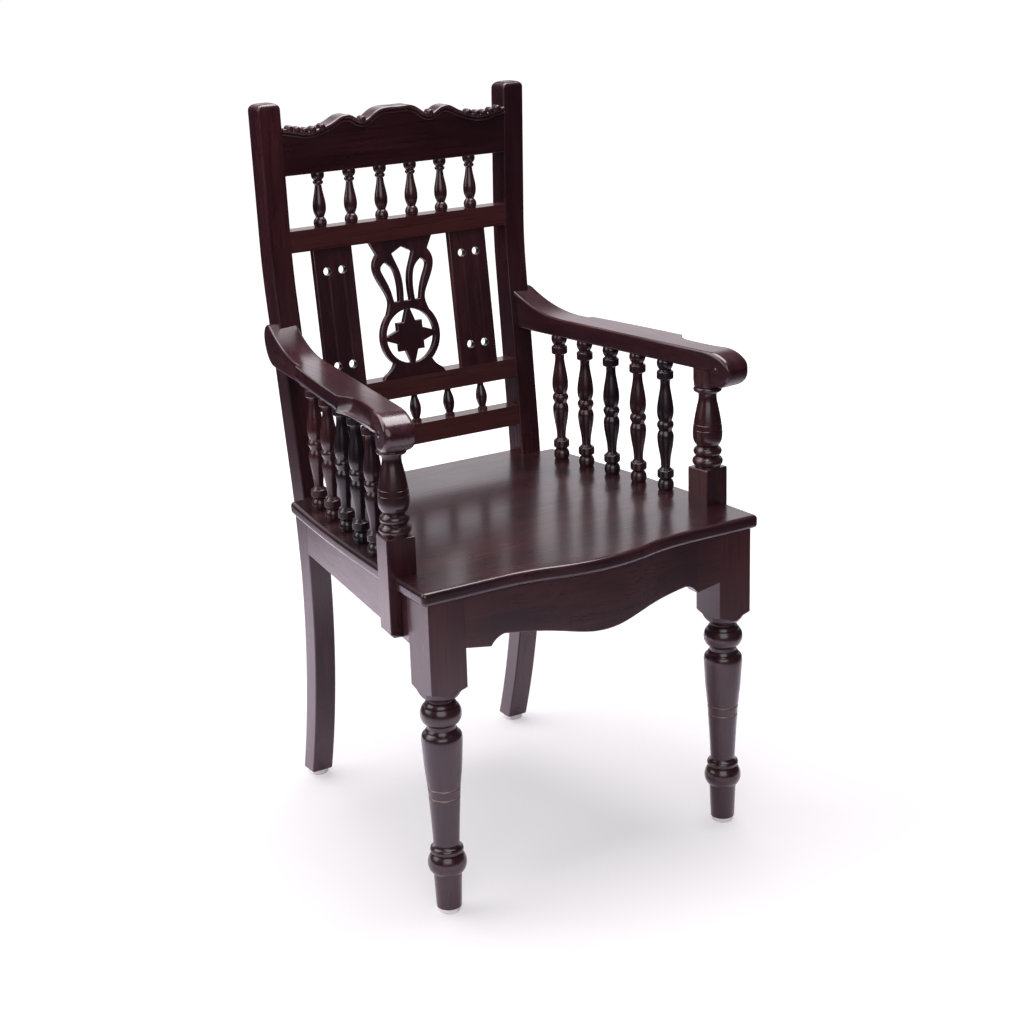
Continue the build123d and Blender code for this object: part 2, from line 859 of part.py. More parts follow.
# Side aprons from the front leg's back face to the post's front face
apron_across = apron_thickness / math.cos(math.radians(side_angle))
side_plan = polygon(
    (leg_outer, leg_back),
    (side_x, post_front),
    (side_x - apron_across, post_front),
    (leg_outer - apron_across, leg_back),
)
side_apron = along_z(side_plan, apron_low, seat_under)


def side_tenon(extra):
    low = apron_low + tenon_shoulder
    high = seat_under - tenon_shoulder
    x_leg = leg_outer - apron_across / 2
    x_post = side_x - apron_across / 2
    deep = tenon_length - 2.0 + extra
    slim = tenon_thickness / 2 - 1.0
    front = box(x_leg - slim, x_leg + slim, leg_back - deep, leg_back, low, high)
    back = box(x_post - slim, x_post + slim, post_front, post_front + deep, low, high)
    return front + back


side_apron = side_apron + side_tenon(0)
side_cut = side_tenon(glue_room)

# Front legs: square block, turned below, standing on a glide
leg_corner = leg_square * 0.72
leg_drop = leg_block_bottom - glide_height


def leg_at(share):
    """Height at a share of the turned length, from the glide up to the block."""
    return glide_height + share * leg_drop


block = box(leg_outer - leg_square, leg_outer, leg_front, leg_back, leg_at(0.9), seat_under)
pommel = turned(
    (leg_neck_radius, leg_at(0.9387)),
    [
        ("arc", (0.464 * leg_square, leg_at(0.9613)), (0.549 * leg_square, leg_at(0.9871))),
        ("line", (leg_corner, leg_at(1.0016))),
        ("line", (leg_corner, seat_under)),
    ],
)
rb = leg_ball_radius
rv = leg_vase_radius
rr = leg_ring_radius
shank = turned(
    (leg_toe_radius, glide_height),
    [
        ("spline", (1.04 * leg_toe_radius, leg_at(0.0452)), (0.677 * rv, leg_at(0.1161)),
         (0.699 * rv, leg_at(0.1581))),
        ("line", (0.843 * rr, leg_at(0.1645))),
        ("arc", (rr, leg_at(0.2045)), (0.824 * rr, leg_at(0.2452))),
        ("line", (0.733 * rv, leg_at(0.2484))),
        ("arc", (0.827 * rv, leg_at(0.2645)), (0.695 * rv, leg_at(0.2806))),
        ("line", (leg_ankle_radius, leg_at(0.2903))),
        ("spline", (1.03 * leg_ankle_radius, leg_at(0.329)), (0.763 * rv, leg_at(0.4903))),
        ("line", (0.729 * rv, leg_at(0.4952))),
        ("line", (0.771 * rv, leg_at(0.5))),
        ("line", (0.789 * rv, leg_at(0.5258))),
        ("line", (0.752 * rv, leg_at(0.5306))),
        ("line", (0.801 * rv, leg_at(0.5355))),
        ("spline", (0.932 * rv, leg_at(0.6774)), (0.9925 * rv, leg_at(0.7419)),
         (0.906 * rv, leg_at(0.7806)), (0.771 * rv, leg_at(0.8))),
        ("line", (0.771 * rv, leg_at(0.8081))),
        ("line", (0.699 * rv, leg_at(0.8145))),
        ("line", (0.699 * rv, leg_at(0.829))),
        ("arc", (rb, leg_at(0.8774)), (0.866 * rb, leg_at(0.9129))),
        ("line", (0.806 * rb, leg_at(0.9145))),
        ("arc", (0.739 * rb, leg_at(0.9274)), (leg_neck_radius, leg_at(0.9355))),
        ("line", (leg_neck_radius, leg_at(0.9419))),
    ],
)
leg = (block & (Pos(leg_x, leg_y, 0) * pommel)) + Pos(leg_x, leg_y, 0) * shank

# Arm, drawn in the side frame
swoop_run = arm_tip_centre - arm_swoop_start
tip_drop = arm_rise - arm_tip_radius
swoop_radius = (swoop_run ** 2 - arm_tip_radius ** 2 + tip_drop ** 2) / (2 * arm_rise)
tip = Vector(arm_tip_centre, arm_top + tip_drop)
swoop = Vector(arm_swoop_start, arm_top + swoop_radius)
toward = (tip - swoop).normalized()
meet = swoop + toward * swoop_radius
swoop_mid = swoop + (toward + Vector(0, -1)).normalized() * swoop_radius
tip_mid = tip + (toward * -1 + Vector(1, 0)).normalized() * arm_tip_radius
nose_z = arm_top - arm_nose_radius
arm_nose_tip = arm_nose_centre - arm_nose_radius
tip_rear = arm_tip_centre + arm_tip_radius
arm_side = make_face(
    [
        Line((arm_heel, arm_under), (arm_nose_heel, arm_under)),
        Line((arm_nose_heel, arm_under), (arm_nose_heel, arm_top - 2 * arm_nose_radius)),
        Line((arm_nose_heel, arm_top - 2 * arm_nose_radius),
             (arm_nose_centre, arm_top - 2 * arm_nose_radius)),
        CenterArc((arm_nose_centre, nose_z), arm_nose_radius, start_angle=180, arc_size=90),
        EllipticalCenterArc(
            (arm_nose_tip + arm_nose_slope, nose_z),
            arm_nose_slope,
            arm_nose_radius,
            start_angle=90,
            arc_size=90,
        ),
        Line((arm_nose_tip + arm_nose_slope, arm_top), (arm_swoop_start, arm_top)),
        ThreePointArc((arm_swoop_start, arm_top), swoop_mid, meet),
        ThreePointArc(meet, tip_mid, (tip_rear, tip.Y)),
        ThreePointArc(
            (tip_rear, tip.Y),
            (tip_rear - 7.5, (tip.Y + arm_under) / 2 - 7.0),
            (arm_heel, arm_under),
        ),
    ]
)
arm_outer = arm_width - arm_inset
arm_slab = along_x(arm_side, -arm_inset, arm_outer)
wing_mid = (arm_wing_start + arm_wing_stop) / 2
wing_face = make_face(
    [
        Line((0, arm_wing_start), (arm_outer + arm_wing_end, arm_wing_start - 6)),
        ThreePointArc(
            (arm_outer + arm_wing_end, arm_wing_start - 6),
            (arm_outer + arm_wing, wing_mid),
            (arm_outer + arm_wing_end, arm_wing_stop + 3),
        ),
        Line((arm_outer + arm_wing_end, arm_wing_stop + 3), (0, arm_wing_stop)),
        Line((0, arm_wing_stop), (0, arm_wing_start)),
    ]
)
wing_low = polygon(
    (0, arm_wing_start - 4),
    (arm_outer, arm_wing_start - 6),
    (arm_outer, arm_wing_stop + 3),
    (0, arm_wing_stop + 2),
)
wing_lip = along_z(wing_face, arm_top - arm_wing_lip, arm_top)
wing_under = loft([Pos(0, 0, arm_under) * wing_low, Pos(0, 0, arm_top - arm_wing_lip) * wing_face])
arm_local = arm_slab + wing_lip + wing_under
arm_whole = (side_frame * arm_local) - post_zone

# Arm post: square block, vase turning, lower half lapped outside the side apron
post_axis = side_frame * Pos(arm_post_inward, arm_post_along, 0)
block_top = seat_top + arm_post_block
arm_block = box(
    -arm_post_width / 2,
    arm_post_width / 2,
    -arm_post_depth / 2,
    arm_post_depth / 2,
    arm_post_drop,
    block_top,
)
lap_bottom = arm_block.edges().group_by(Axis.Z)[0].sort_by(Axis.X)[1:]
arm_block = chamfer(lap_bottom, arm_post_soft)
block_eased = arm_block.edges().group_by(Axis.Z)[-1]
arm_block = chamfer(block_eased, 1.2)
h = arm_under - block_top
ab = arm_post_belly_radius
ar = arm_post_ring_radius
an = arm_post_neck_radius
ad = arm_post_drum_radius
arm_turning = turned(
    (0.833 * ar, block_top),
    [
        ("line", (0.833 * ar, block_top + 0.02 * h)),
        ("arc", (ar, block_top + 0.06 * h), (0.848 * ar, block_top + 0.1 * h)),
        ("line", (0.762 * ar, block_top + 0.115 * h)),
        ("line", (0.786 * ar, block_top + 0.125 * h)),
        ("arc", (0.924 * ar, block_top + 0.16 * h), (0.781 * ar, block_top + 0.2 * h)),
        ("line", (0.686 * ar, block_top + 0.215 * h)),
        ("spline", (0.95 * ab, block_top + 0.275 * h), (ab, block_top + 0.34 * h),
         (0.97 * ab, block_top + 0.385 * h)),
        ("line", (0.921 * ab, block_top + 0.392 * h)),
        ("line", (0.96 * ab, block_top + 0.4 * h)),
        ("spline", (0.871 * ab, block_top + 0.5 * h), (1.114 * an, block_top + 0.65 * h),
         (an, block_top + 0.725 * h), (1.049 * an, block_top + 0.76 * h)),
        ("line", (0.824 * ad, block_top + 0.768 * h)),
        ("arc", (ad, block_top + 0.795 * h), (0.865 * ad, block_top + 0.822 * h)),
        ("line", (0.948 * ad, block_top + 0.83 * h)),
        ("line", (ad, block_top + 0.9 * h)),
        ("line", (ad, arm_under)),
    ],
)
arm_pin = Pos(0, 0, arm_under + arm_post_pin / 2) * Cylinder(arm_post_pin_radius, arm_post_pin)
arm_pin_cut = Pos(0, 0, arm_under + (arm_post_pin + glue_room) / 2) * Cylinder(
    arm_post_pin_radius, arm_post_pin + glue_room
)
under_seat = side_frame * box(-far, 0, -far, far, 0, seat_top)
arm_post = post_axis * (arm_block + arm_turning + arm_pin) - under_seat
lap_zone = post_axis * arm_block - under_seat
arm_pin_hole = post_axis * arm_pin_cut


# Arm spindles
def arm_spindle_solid(length):
    r = arm_spindle_radius
    n = arm_spindle_neck
    profile = [
        ("arc", (r, 0.031 * length), (0.8 * r, 0.062 * length)),
        ("line", (0.62 * r, 0.075 * length)),
        ("line", (0.62 * r, 0.088 * length)),
        ("line", (0.9 * r, 0.106 * length)),
        ("line", (r, 0.116 * length)),
        ("line", (r, 0.162 * length)),
        ("line", (0.86 * r, 0.171 * length)),
        ("line", (n, 0.19 * length)),
        ("spline", (0.8 * r, 0.285 * length), (0.98 * r, 0.365 * length), (r, 0.395 * length),
         (0.92 * r, 0.44 * length), (0.74 * r, 0.466 * length)),
        ("line", (0.86 * r, 0.472 * length)),
        ("arc", (r, 0.4935 * length), (0.86 * r, 0.515 * length)),
        ("line", (0.7 * r, 0.524 * length)),
        ("spline", (0.95 * r, 0.565 * length), (r, 0.6 * length), (0.86 * r, 0.69 * length),
         (0.62 * r, 0.8 * length), (n, 0.858 * length)),
        ("line", (0.88 * r, 0.864 * length)),
        ("line", (r, 0.874 * length)),
        ("line", (r, 0.916 * length)),
        ("line", (0.88 * r, 0.926 * length)),
        ("line", (0.62 * r, 0.934 * length)),
        ("spline", (0.7 * r, 0.962 * length), (0.93 * r, length)),
    ]
    return turned((0.8 * r, 0), profile)


arm_spindles = []
arm_spindle_pins = []
arm_gap = arm_under - seat_top
for index in range(arm_spindle_count):
    spot = Pos(arm_spindle_inward, arm_spindle_first - index * arm_spindle_pitch, seat_top)
    place = side_frame * spot
    shape = arm_spindle_solid(arm_gap) + pin(-pin_length, arm_gap + pin_length)
    arm_spindles.append(place * shape)
    arm_spindle_pins.append(place * pin(-pin_length - glue_room, arm_gap + pin_length + glue_room))


# Corner blocks under the seat
block_low = seat_under - corner_block_height
front_face_y = leg_front + front_apron_thickness


def apron_inside(y):
    """Half distance of the side aprons' inner face."""
    share = (post_front - y) / (post_front - leg_back)
    return side_x - apron_across + (leg_outer - side_x) * share


front_block_plan = polygon(
    (leg_inner - corner_block_reach + 12, front_face_y),
    (leg_inner, front_face_y),
    (leg_inner, leg_back),
    (apron_inside(leg_back), leg_back),
    (apron_inside(leg_back + corner_block_reach), leg_back + corner_block_reach),
)
front_block = along_z(front_block_plan, block_low, seat_under)
post_in = post_inner(seat_under)
rear_block_plan = polygon(
    (post_in - corner_block_reach, rear_apron_front),
    (post_in + 3, rear_apron_front),
    (post_in + 3, post_front),
    (apron_inside(post_front), post_front),
    (apron_inside(post_front - corner_block_reach), post_front - corner_block_reach),
)
rear_block = along_z(rear_block_plan, block_low, seat_under) - post_right


def screw(length):
    """Countersunk wood screw, head upward at the origin."""
    r = screw_radius
    hr = screw_head_radius
    return turned(
        (screw_point, -length),
        [
            ("line", (r, -length + screw_tip)),
            ("line", (r, -hr)),
            ("line", (hr, -screw_rim)),
            ("line", (hr, 0)),
        ],
    )


def driven(start, end, length, sink):
    """A screw whose head sits below the start point and whose tip runs towards the end."""
    a = Vector(*start)
    b = Vector(*end)
    away = (a - b).normalized()
    head = a - away * sink
    place = Plane(origin=head, z_dir=away)
    clear = place * (Pos(0, 0, (sink + 20) / 2) * Cylinder(screw_head_radius, sink + 20))
    return place.location * screw(length), clear


def facing_middle(p, q):
    return ((p[0] + q[0]) / 2, (p[1] + q[1]) / 2)


screw_z = (block_low + seat_under) / 2
front_diagonal = facing_middle(
    (leg_inner - corner_block_reach + 12, front_face_y),
    (apron_inside(leg_back + corner_block_reach), leg_back + corner_block_reach),
)
rear_diagonal = facing_middle(
    (post_in - corner_block_reach, rear_apron_front),
    (apron_inside(post_front - corner_block_reach), post_front - corner_block_reach),
)
front_corner_screw, front_corner_bore = driven(
    (*front_diagonal, screw_z), (leg_x, leg_y, screw_z), corner_screw_length, screw_sink
)
rear_corner_screw, rear_corner_bore = driven(
    (*rear_diagonal, screw_z),
    (post_in + post_width / 2, post_front + post_depth / 2, screw_z),
    corner_screw_length,
    screw_sink,
)


def seat_screw_at(x, y):
    return driven((x, y, block_low), (x, y, seat_top), seat_screw_length, screw_sink)


front_seat_screw, front_seat_bore = seat_screw_at(
    (front_diagonal[0] + leg_inner) / 2 + 2, (front_diagonal[1] + leg_back) / 2 + 18
)
rear_seat_screw, rear_seat_bore = seat_screw_at(
    (rear_diagonal[0] + post_in) / 2 - 14, (rear_diagonal[1] + post_front) / 2 + 8
)

# Screw from behind each post into the end of the arm
arm_screw_z = arm_under + arm_thickness * 0.75
arm_screw_x = post_inner(arm_screw_z) + post_width * 0.62
arm_back_screw, arm_back_bore = driven(
    (arm_screw_x, lean_line(arm_screw_z) + post_top_depth, arm_screw_z),
    (arm_screw_x, 0, arm_screw_z),
    arm_back_screw_length,
    screw_sink,
)

# Two screws from inside each side apron into the lap of the arm post
lap_screws = []
lap_bores = []
for height in (apron_low + lap_screw_low, seat_under - lap_screw_high):
    inner_spot = side_frame * Pos(-apron_thickness, arm_post_along, height)
    outer_spot = side_frame * Pos(arm_post_width, arm_post_along, height)
    lap_screw, lap_bore = driven(
        tuple(inner_spot.position), tuple(outer_spot.position), arm_post_screw_length, lap_screw_sink
    )
    lap_screws.append(lap_screw)
    lap_bores.append(lap_bore)

# Floor glides and their nails
foot_x = post_outer(glide_height) - post_width / 2
foot_y = post_foot_front + post_foot_depth / 2


def glide_and_nail(x, y):
    glide = Pos(x, y, glide_height / 2) * Cylinder(glide_radius, glide_height)
    shaft = Pos(x, y, 3 + nail_length / 2) * Cylinder(nail_radius, nail_length)
    head = Pos(x, y, 3.0) * Cylinder(nail_radius * 2.4, 1.6)
    nail = shaft + head
    well = Pos(x, y, 1.1) * Cylinder(nail_radius * 2.4, 2.2)
    return glide - nail - well, nail


front_glide, front_nail = glide_and_nail(leg_x, leg_y)
rear_glide, rear_nail = glide_and_nail(foot_x, foot_y)

# Cut every mortise, hole and notch
upper_rail_piece = upper_rail
lower_rail_piece = lower_rail
bottom_rail_piece = bottom_rail
for hole in crest_pins:
    crest = crest - hole
    upper_rail_piece = upper_rail_piece - hole
for hole in lower_pins:
    lower_rail_piece = lower_rail_piece - hole
    bottom_rail_piece = bottom_rail_piece - hole
upper_rail_piece = upper_rail_piece - splat_cut - slat_cuts
lower_rail_piece = lower_rail_piece - splat_cut - slat_cuts

seat = seat - post_right - flip(post_right) - lap_zone - flip(lap_zone)
for hole in arm_spindle_pins:
    seat = seat - hole - flip(hole)
    arm_whole = arm_whole - hole
arm_whole = arm_whole - arm_pin_hole - arm_back_screw
for cut in (front_seat_screw, rear_seat_screw):
    seat = seat - cut - flip(cut)

post_right = post_right - rear_cut - side_cut - crest_tenon(glue_room)
for low, high in ((bottom_low, bottom_high), (lower_low, lower_high), (upper_low, upper_high)):
    post_right = post_right - rail_tenon(low, high, glue_room)
post_right = post_right - arm_back_screw - arm_back_bore - rear_nail - rear_corner_screw
leg = leg - front_cut - side_cut - front_nail - front_corner_screw
front_block = front_block - front_corner_screw - front_corner_bore - front_seat_screw - front_seat_bore
rear_block = rear_block - rear_corner_screw - rear_corner_bore - rear_seat_screw - rear_seat_bore
for lap_screw, lap_bore in zip(lap_screws, lap_bores):
    side_apron = side_apron - lap_screw - lap_bore
    arm_post = arm_post - lap_screw

# Name the pieces
pieces = {
    "crest_rail": crest,
    "upper_back_rail": upper_rail_piece,
    "lower_back_rail": lower_rail_piece,
    "bottom_back_rail": bottom_rail_piece,
    "centre_splat": splat,
    "side_slat_right": slat_right,
    "side_slat_left": slat_left,
    "seat_panel": seat,
    "front_apron": front_apron,
    "rear_apron": rear_apron,
}
for index, shape in enumerate(crest_spindles, start=1):
    pieces[f"crest_spindle_{index}"] = shape
for index, shape in enumerate(lower_spindles, start=1):
    pieces[f"lower_spindle_{index}"] = shape
pairs = {
    "back_post": post_right,
    "side_apron": side_apron,
    "front_leg": leg,
    "arm": arm_whole,
    "arm_post": arm_post,
    "front_corner_block": front_block,
    "rear_corner_block": rear_block,
    "front_glide": front_glide,
    "rear_glide": rear_glide,
}
for index, shape in enumerate(arm_spindles, start=1):
    pairs[f"arm_spindle_{index}"] = shape
for name, shape in pairs.items():
    pieces[f"{name}_right"] = shape
    pieces[f"{name}_left"] = flip(shape)

groups = {
    "corner_block_screws": [front_corner_screw, rear_corner_screw],
    "seat_screws": [front_seat_screw, rear_seat_screw],
    "arm_back_screws": [arm_back_screw],
    "arm_post_screws": lap_screws,
    "glide_nails": [front_nail, rear_nail],
}

# Centre the whole chair over the origin and write one file per piece
front_most = seat_front - seat_bow
rear_most = post_foot_front + post_foot_depth
centred = Pos(0, -(front_most + rear_most) / 2, 0)
for name, shape in pieces.items():
    export_step(centred * one(shape), f"parts/{name}.step")
for name, shapes in groups.items():
    both = [one(s) for s in shapes] + [one(flip(s)) for s in shapes]
    export_step(Compound([centred * s for s in both]), f"parts/{name}.step")
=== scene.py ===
import math

import bmesh
import bpy
import numpy as np
from bpy.props import FloatProperty, FloatVectorProperty, IntProperty, PointerProperty
from bpy.types import NodeSocket, Operator, Panel, PropertyGroup
from mathutils import Matrix, Vector


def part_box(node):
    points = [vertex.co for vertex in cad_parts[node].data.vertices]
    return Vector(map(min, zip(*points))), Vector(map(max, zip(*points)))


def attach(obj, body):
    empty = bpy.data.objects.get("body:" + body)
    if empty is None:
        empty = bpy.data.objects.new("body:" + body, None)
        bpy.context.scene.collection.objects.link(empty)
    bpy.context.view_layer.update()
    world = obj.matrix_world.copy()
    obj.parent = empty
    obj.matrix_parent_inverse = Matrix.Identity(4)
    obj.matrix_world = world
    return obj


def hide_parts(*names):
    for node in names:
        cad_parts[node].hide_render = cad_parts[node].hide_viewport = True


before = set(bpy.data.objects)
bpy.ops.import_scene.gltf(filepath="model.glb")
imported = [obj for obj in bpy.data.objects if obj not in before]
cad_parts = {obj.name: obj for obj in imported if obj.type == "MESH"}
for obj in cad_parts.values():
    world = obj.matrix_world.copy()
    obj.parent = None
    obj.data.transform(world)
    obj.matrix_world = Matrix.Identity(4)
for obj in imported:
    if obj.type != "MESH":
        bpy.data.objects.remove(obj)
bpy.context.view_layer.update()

bl_info = {
    "name": "Carved armchair",
    "version": (1, 0, 0),
    "blender": (4, 5, 0),
    "location": "3D View > Sidebar > Armchair",
    "description": "Builds a carved and turned wooden armchair around its packed frame",
    "category": "Object",
}

MM = 0.001
QUARTER = math.pi / 2
SIDES = ((-1, "left"), (1, "right"))
UNDOABLE = {"REGISTER", "UNDO"}

# Outlines are drawn in millimetres with the floor at 0 and the chair facing -Y.
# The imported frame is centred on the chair's box, so what is drawn moves back by SHIFT.
SEAT_NOSE = -280.5
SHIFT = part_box("seat_panel")[0].y - SEAT_NOSE * MM

CHAIR_TOP = 1001.0
SEAT_TOP = 455.0
SEAT_UNDER = 437.0
GLIDE_TOP = 8.0
LEAN_SHIFT = 41.1
LEAN_LOW = 450.0
LEAN_HIGH = 772.0
LEAN_SLOPE = LEAN_SHIFT / (LEAN_HIGH - LEAN_LOW)
LEAN_ANGLE = math.atan(LEAN_SLOPE)
POST_FRONT = 185.4
POST_WIDE = 33.0
POST_FLOOR_OUTER = 190.2
POST_SPLAY = 0.0206
RAIL_SETBACK = 0.5
RAIL_DEEP = 24.0
RAILS = {"bottom": (500.1, 529.0), "lower": (571.1, 598.8), "upper": (795.5, 825.8)}
BOTTOM_RAIL_TOP = RAILS["bottom"][1]
LOWER_RAIL_TOP = RAILS["lower"][1]
SPLAT_TALL = (RAILS["upper"][0] - LOWER_RAIL_TOP) / math.cos(LEAN_ANGLE)
CREST_BOTTOM = 901.8
CREST_FRONT = POST_FRONT + LEAN_SHIFT + RAIL_SETBACK
LEG_OUTER = 251.2
LEG_SQUARE = 52.8
LEG_FRONT = -254.5
LEG_BACK = LEG_FRONT + LEG_SQUARE
LEG_INNER = LEG_OUTER - LEG_SQUARE
LEG_X = LEG_OUTER - LEG_SQUARE / 2
LEG_Y = LEG_FRONT + LEG_SQUARE / 2
LEG_TURNED = 309.8
APRON_MIDDLE = 404.0
APRON_UNDER = 371.0
APRON_THICK = 20.0
ARM_TOP = 670.0
ARM_UNDER = 643.0
HIDDEN = 2.0


def post_outer(z):
    return POST_FLOOR_OUTER + POST_SPLAY * z


def post_inner(z):
    return post_outer(z) - POST_WIDE


def back_line(z):
    return POST_FRONT + (min(max(z, LEAN_LOW), LEAN_HIGH) - LEAN_LOW) * LEAN_SLOPE


SIDE_X = post_outer(APRON_MIDDLE)
SIDE_RUN = math.hypot(LEG_OUTER - SIDE_X, POST_FRONT - LEG_BACK)
SIDE_COS = (POST_FRONT - LEG_BACK) / SIDE_RUN
SIDE_SIN = (LEG_OUTER - SIDE_X) / SIDE_RUN


def place_at(x, y, z):
    """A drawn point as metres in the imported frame."""
    return Vector((x * MM, y * MM + SHIFT, z * MM))


def side_place(x, y, z, side):
    """A point of a side's own frame, X outward and Y backward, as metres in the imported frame."""
    across = SIDE_X + SIDE_COS * x - SIDE_SIN * y
    return place_at(side * across, POST_FRONT + SIDE_SIN * x + SIDE_COS * y, z)


def axes(origin, across, up, out):
    """Matrix that puts a drawn board's U, V and thickness on the given directions."""
    m = Matrix((across, up, out)).transposed().to_4x4()
    m.translation = origin
    return m


def lean_axes(setback):
    """Board frame on the leaning back, its origin on the lower rail."""
    c, s = math.cos(LEAN_ANGLE), math.sin(LEAN_ANGLE)
    origin = place_at(0, back_line(LOWER_RAIL_TOP) + RAIL_SETBACK + setback, LOWER_RAIL_TOP)
    return axes(origin, (1, 0, 0), (0, s, c), (0, -c, s))


# Lines

ARC_STEPS = 8
CURVE_STEPS = 7


def arc(a, b, c, steps):
    """Points after a up to c on the circle through three points."""
    (ax, ay), (bx, by), (cx, cy) = a, b, c
    d = 2 * (ax * (by - cy) + bx * (cy - ay) + cx * (ay - by))
    sa, sb, sc = ax * ax + ay * ay, bx * bx + by * by, cx * cx + cy * cy
    ux = (sa * (by - cy) + sb * (cy - ay) + sc * (ay - by)) / d
    uy = (sa * (cx - bx) + sb * (ax - cx) + sc * (bx - ax)) / d
    start = math.atan2(ay - uy, ax - ux)
    middle = (math.atan2(by - uy, bx - ux) - start) % math.tau
    end = (math.atan2(cy - uy, cx - ux) - start) % math.tau
    if middle > end:
        end -= math.tau
    return on_circle((ux, uy), math.hypot(ax - ux, ay - uy), start, start + end, steps + 1)[1:]


def on_circle(centre, radius, start, end, count):
    """Points on a circle from one angle to another."""
    return [(centre[0] + radius * math.cos(a), centre[1] + radius * math.sin(a))
            for a in np.linspace(start, end, count)]


def spline(points, steps=CURVE_STEPS):
    """Points after the first on a natural cubic through all of them, steps to a span."""
    p = np.array(points, float)
    n = len(p)
    h = np.sqrt(((p[1:] - p[:-1]) ** 2).sum(1))
    a = np.zeros((n, n))
    r = np.zeros((n, 2))
    a[0, 0] = a[-1, -1] = 1
    for i in range(1, n - 1):
        a[i, i - 1:i + 2] = h[i - 1], 2 * (h[i - 1] + h[i]), h[i]
        r[i] = 6 * ((p[i + 1] - p[i]) / h[i] - (p[i] - p[i - 1]) / h[i - 1])
    m = np.linalg.solve(a, r)
    out = []
    for i in range(n - 1):
        for t in h[i] * np.arange(1, steps + 1) / steps:
            u = h[i] - t
            q = (m[i] * u ** 3 + m[i + 1] * t ** 3) / (6 * h[i])
            q = q + (p[i] / h[i] - m[i] * h[i] / 6) * u + (p[i + 1] / h[i] - m[i + 1] * h[i] / 6) * t
            out.append((float(q[0]), float(q[1])))
    return out


def drawn(start, *moves):
    """Points of a line made of straight, arc and curve moves."""
    points = [start]
    for kind, *through in moves:
        if kind == "line":
            points += through
        elif kind == "arc":
            points += arc(points[-1], *through, ARC_STEPS)
        else:
            points += spline([points[-1], *through])
    return points


def turning(profile, radius, foot, tall):
    """Points of a turned profile whose table gives shares of a radius and of a height."""
    def sized(point):
        return point[0] * radius, foot + point[1] * tall

    start, *moves = profile
    return drawn(sized(start), *((kind, *map(sized, through)) for kind, *through in moves))


def eased(points, radius, steps=10):
    """A line whose inner corners are rounded."""
    out = [points[0]]
    for before, corner, after in zip(points, points[1:], points[2:]):
        c = Vector(corner)
        u = (Vector(before) - c).normalized()
        w = (Vector(after) - c).normalized()
        half = u.angle(w) / 2
        run = radius / math.tan(half)
        middle = c + (u + w).normalized() * (radius / math.sin(half) - radius)
        out.append(tuple(c + u * run))
        out += arc(out[-1], middle, c + w * run, steps)
    return out + [points[-1]]


def flipped(points):
    """The same line on the chair's other side, in the other order."""
    return [(-x, z) for x, z in reversed(points)]


def mirrored(points):
    """A right half followed by its left half, from the middle round to the middle."""
    ends = points[0], points[-1]
    return points + [q for q in flipped(points) if all(math.dist(q, p) > 1e-6 for p in ends)]


def clean_loop(points, gap=0.02):
    """A loop without points that lie on each other."""
    out = []
    for p in points:
        if not out or math.dist(p, out[-1]) > gap:
            out.append(p)
    if math.dist(out[0], out[-1]) <= gap:
        out.pop()
    return out


def height_at(place, line):
    """Second coordinate of a line at a place along its first."""
    return float(np.interp(place, *zip(*line)))


# Meshes

MERGE_GAP = 1e-5
TURNING_GAP = 2e-6


def scratch(data):
    obj = bpy.data.objects.new("scratch", data)
    bpy.context.scene.collection.objects.link(obj)
    return obj


def evaluated(obj):
    """Plain mesh of an object with its modifiers, and the object removed."""
    bpy.context.view_layer.update()
    graph = bpy.context.evaluated_depsgraph_get()
    mesh = bpy.data.meshes.new_from_object(
        obj.evaluated_get(graph), preserve_all_data_layers=True, depsgraph=graph
    )
    old = obj.data
    bpy.data.objects.remove(obj)
    store = bpy.data.meshes if isinstance(old, bpy.types.Mesh) else bpy.data.curves
    store.remove(old)
    return mesh


def plain_mesh(bm):
    """A mesh with the contents of an edit mesh, which is let go."""
    mesh = bpy.data.meshes.new("scratch")
    bm.to_mesh(mesh)
    bm.free()
    return mesh


def tidy_mesh(mesh, gap=MERGE_GAP):
    """Doubles merged, thin leftovers dropped and normals outward."""
    bm = bmesh.new()
    bm.from_mesh(mesh)
    bmesh.ops.remove_doubles(bm, verts=bm.verts, dist=gap)
    bmesh.ops.dissolve_degenerate(bm, edges=bm.edges, dist=gap)
    bmesh.ops.recalc_face_normals(bm, faces=bm.faces)
    bm.to_mesh(mesh)
    bm.free()
    return mesh


def board(loops, thick, ease, place, segments=2):
    """A flat board cut to its outline and holes, with eased edges.

    The loops are in millimetres. The board's front is at 0 and its thickness goes behind it."""
    curve = bpy.data.curves.new("scratch", "CURVE")
    curve.dimensions = "2D"
    curve.fill_mode = "BOTH"
    for loop in map(clean_loop, loops):
        line = curve.splines.new("POLY")
        line.points.add(len(loop) - 1)
        for point, (u, v) in zip(line.points, loop):
            point.co = (u * MM, v * MM, 0, 1)
        line.use_cyclic_u = True
    curve.extrude = (thick / 2 - ease) * MM
    curve.bevel_depth = ease * MM
    curve.bevel_resolution = segments
    curve.offset = -ease * MM
    mesh = evaluated(scratch(curve))
    mesh.transform(place @ Matrix.Translation((0, 0, -thick / 2 * MM)))
    return tidy_mesh(mesh)


def loft(rings):
    """A skin over rings of equal count, with both ends capped."""
    bm = bmesh.new()
    rows = [[bm.verts.new(p) for p in ring] for ring in rings]
    count = len(rings[0])
    for low, high in zip(rows, rows[1:]):
        for i in range(count):
            j = (i + 1) % count
            bm.faces.new((low[i], low[j], high[j], high[i]))
    bm.faces.new(rows[0][::-1])
    bm.faces.new(rows[-1])
    return tidy_mesh(plain_mesh(bm))


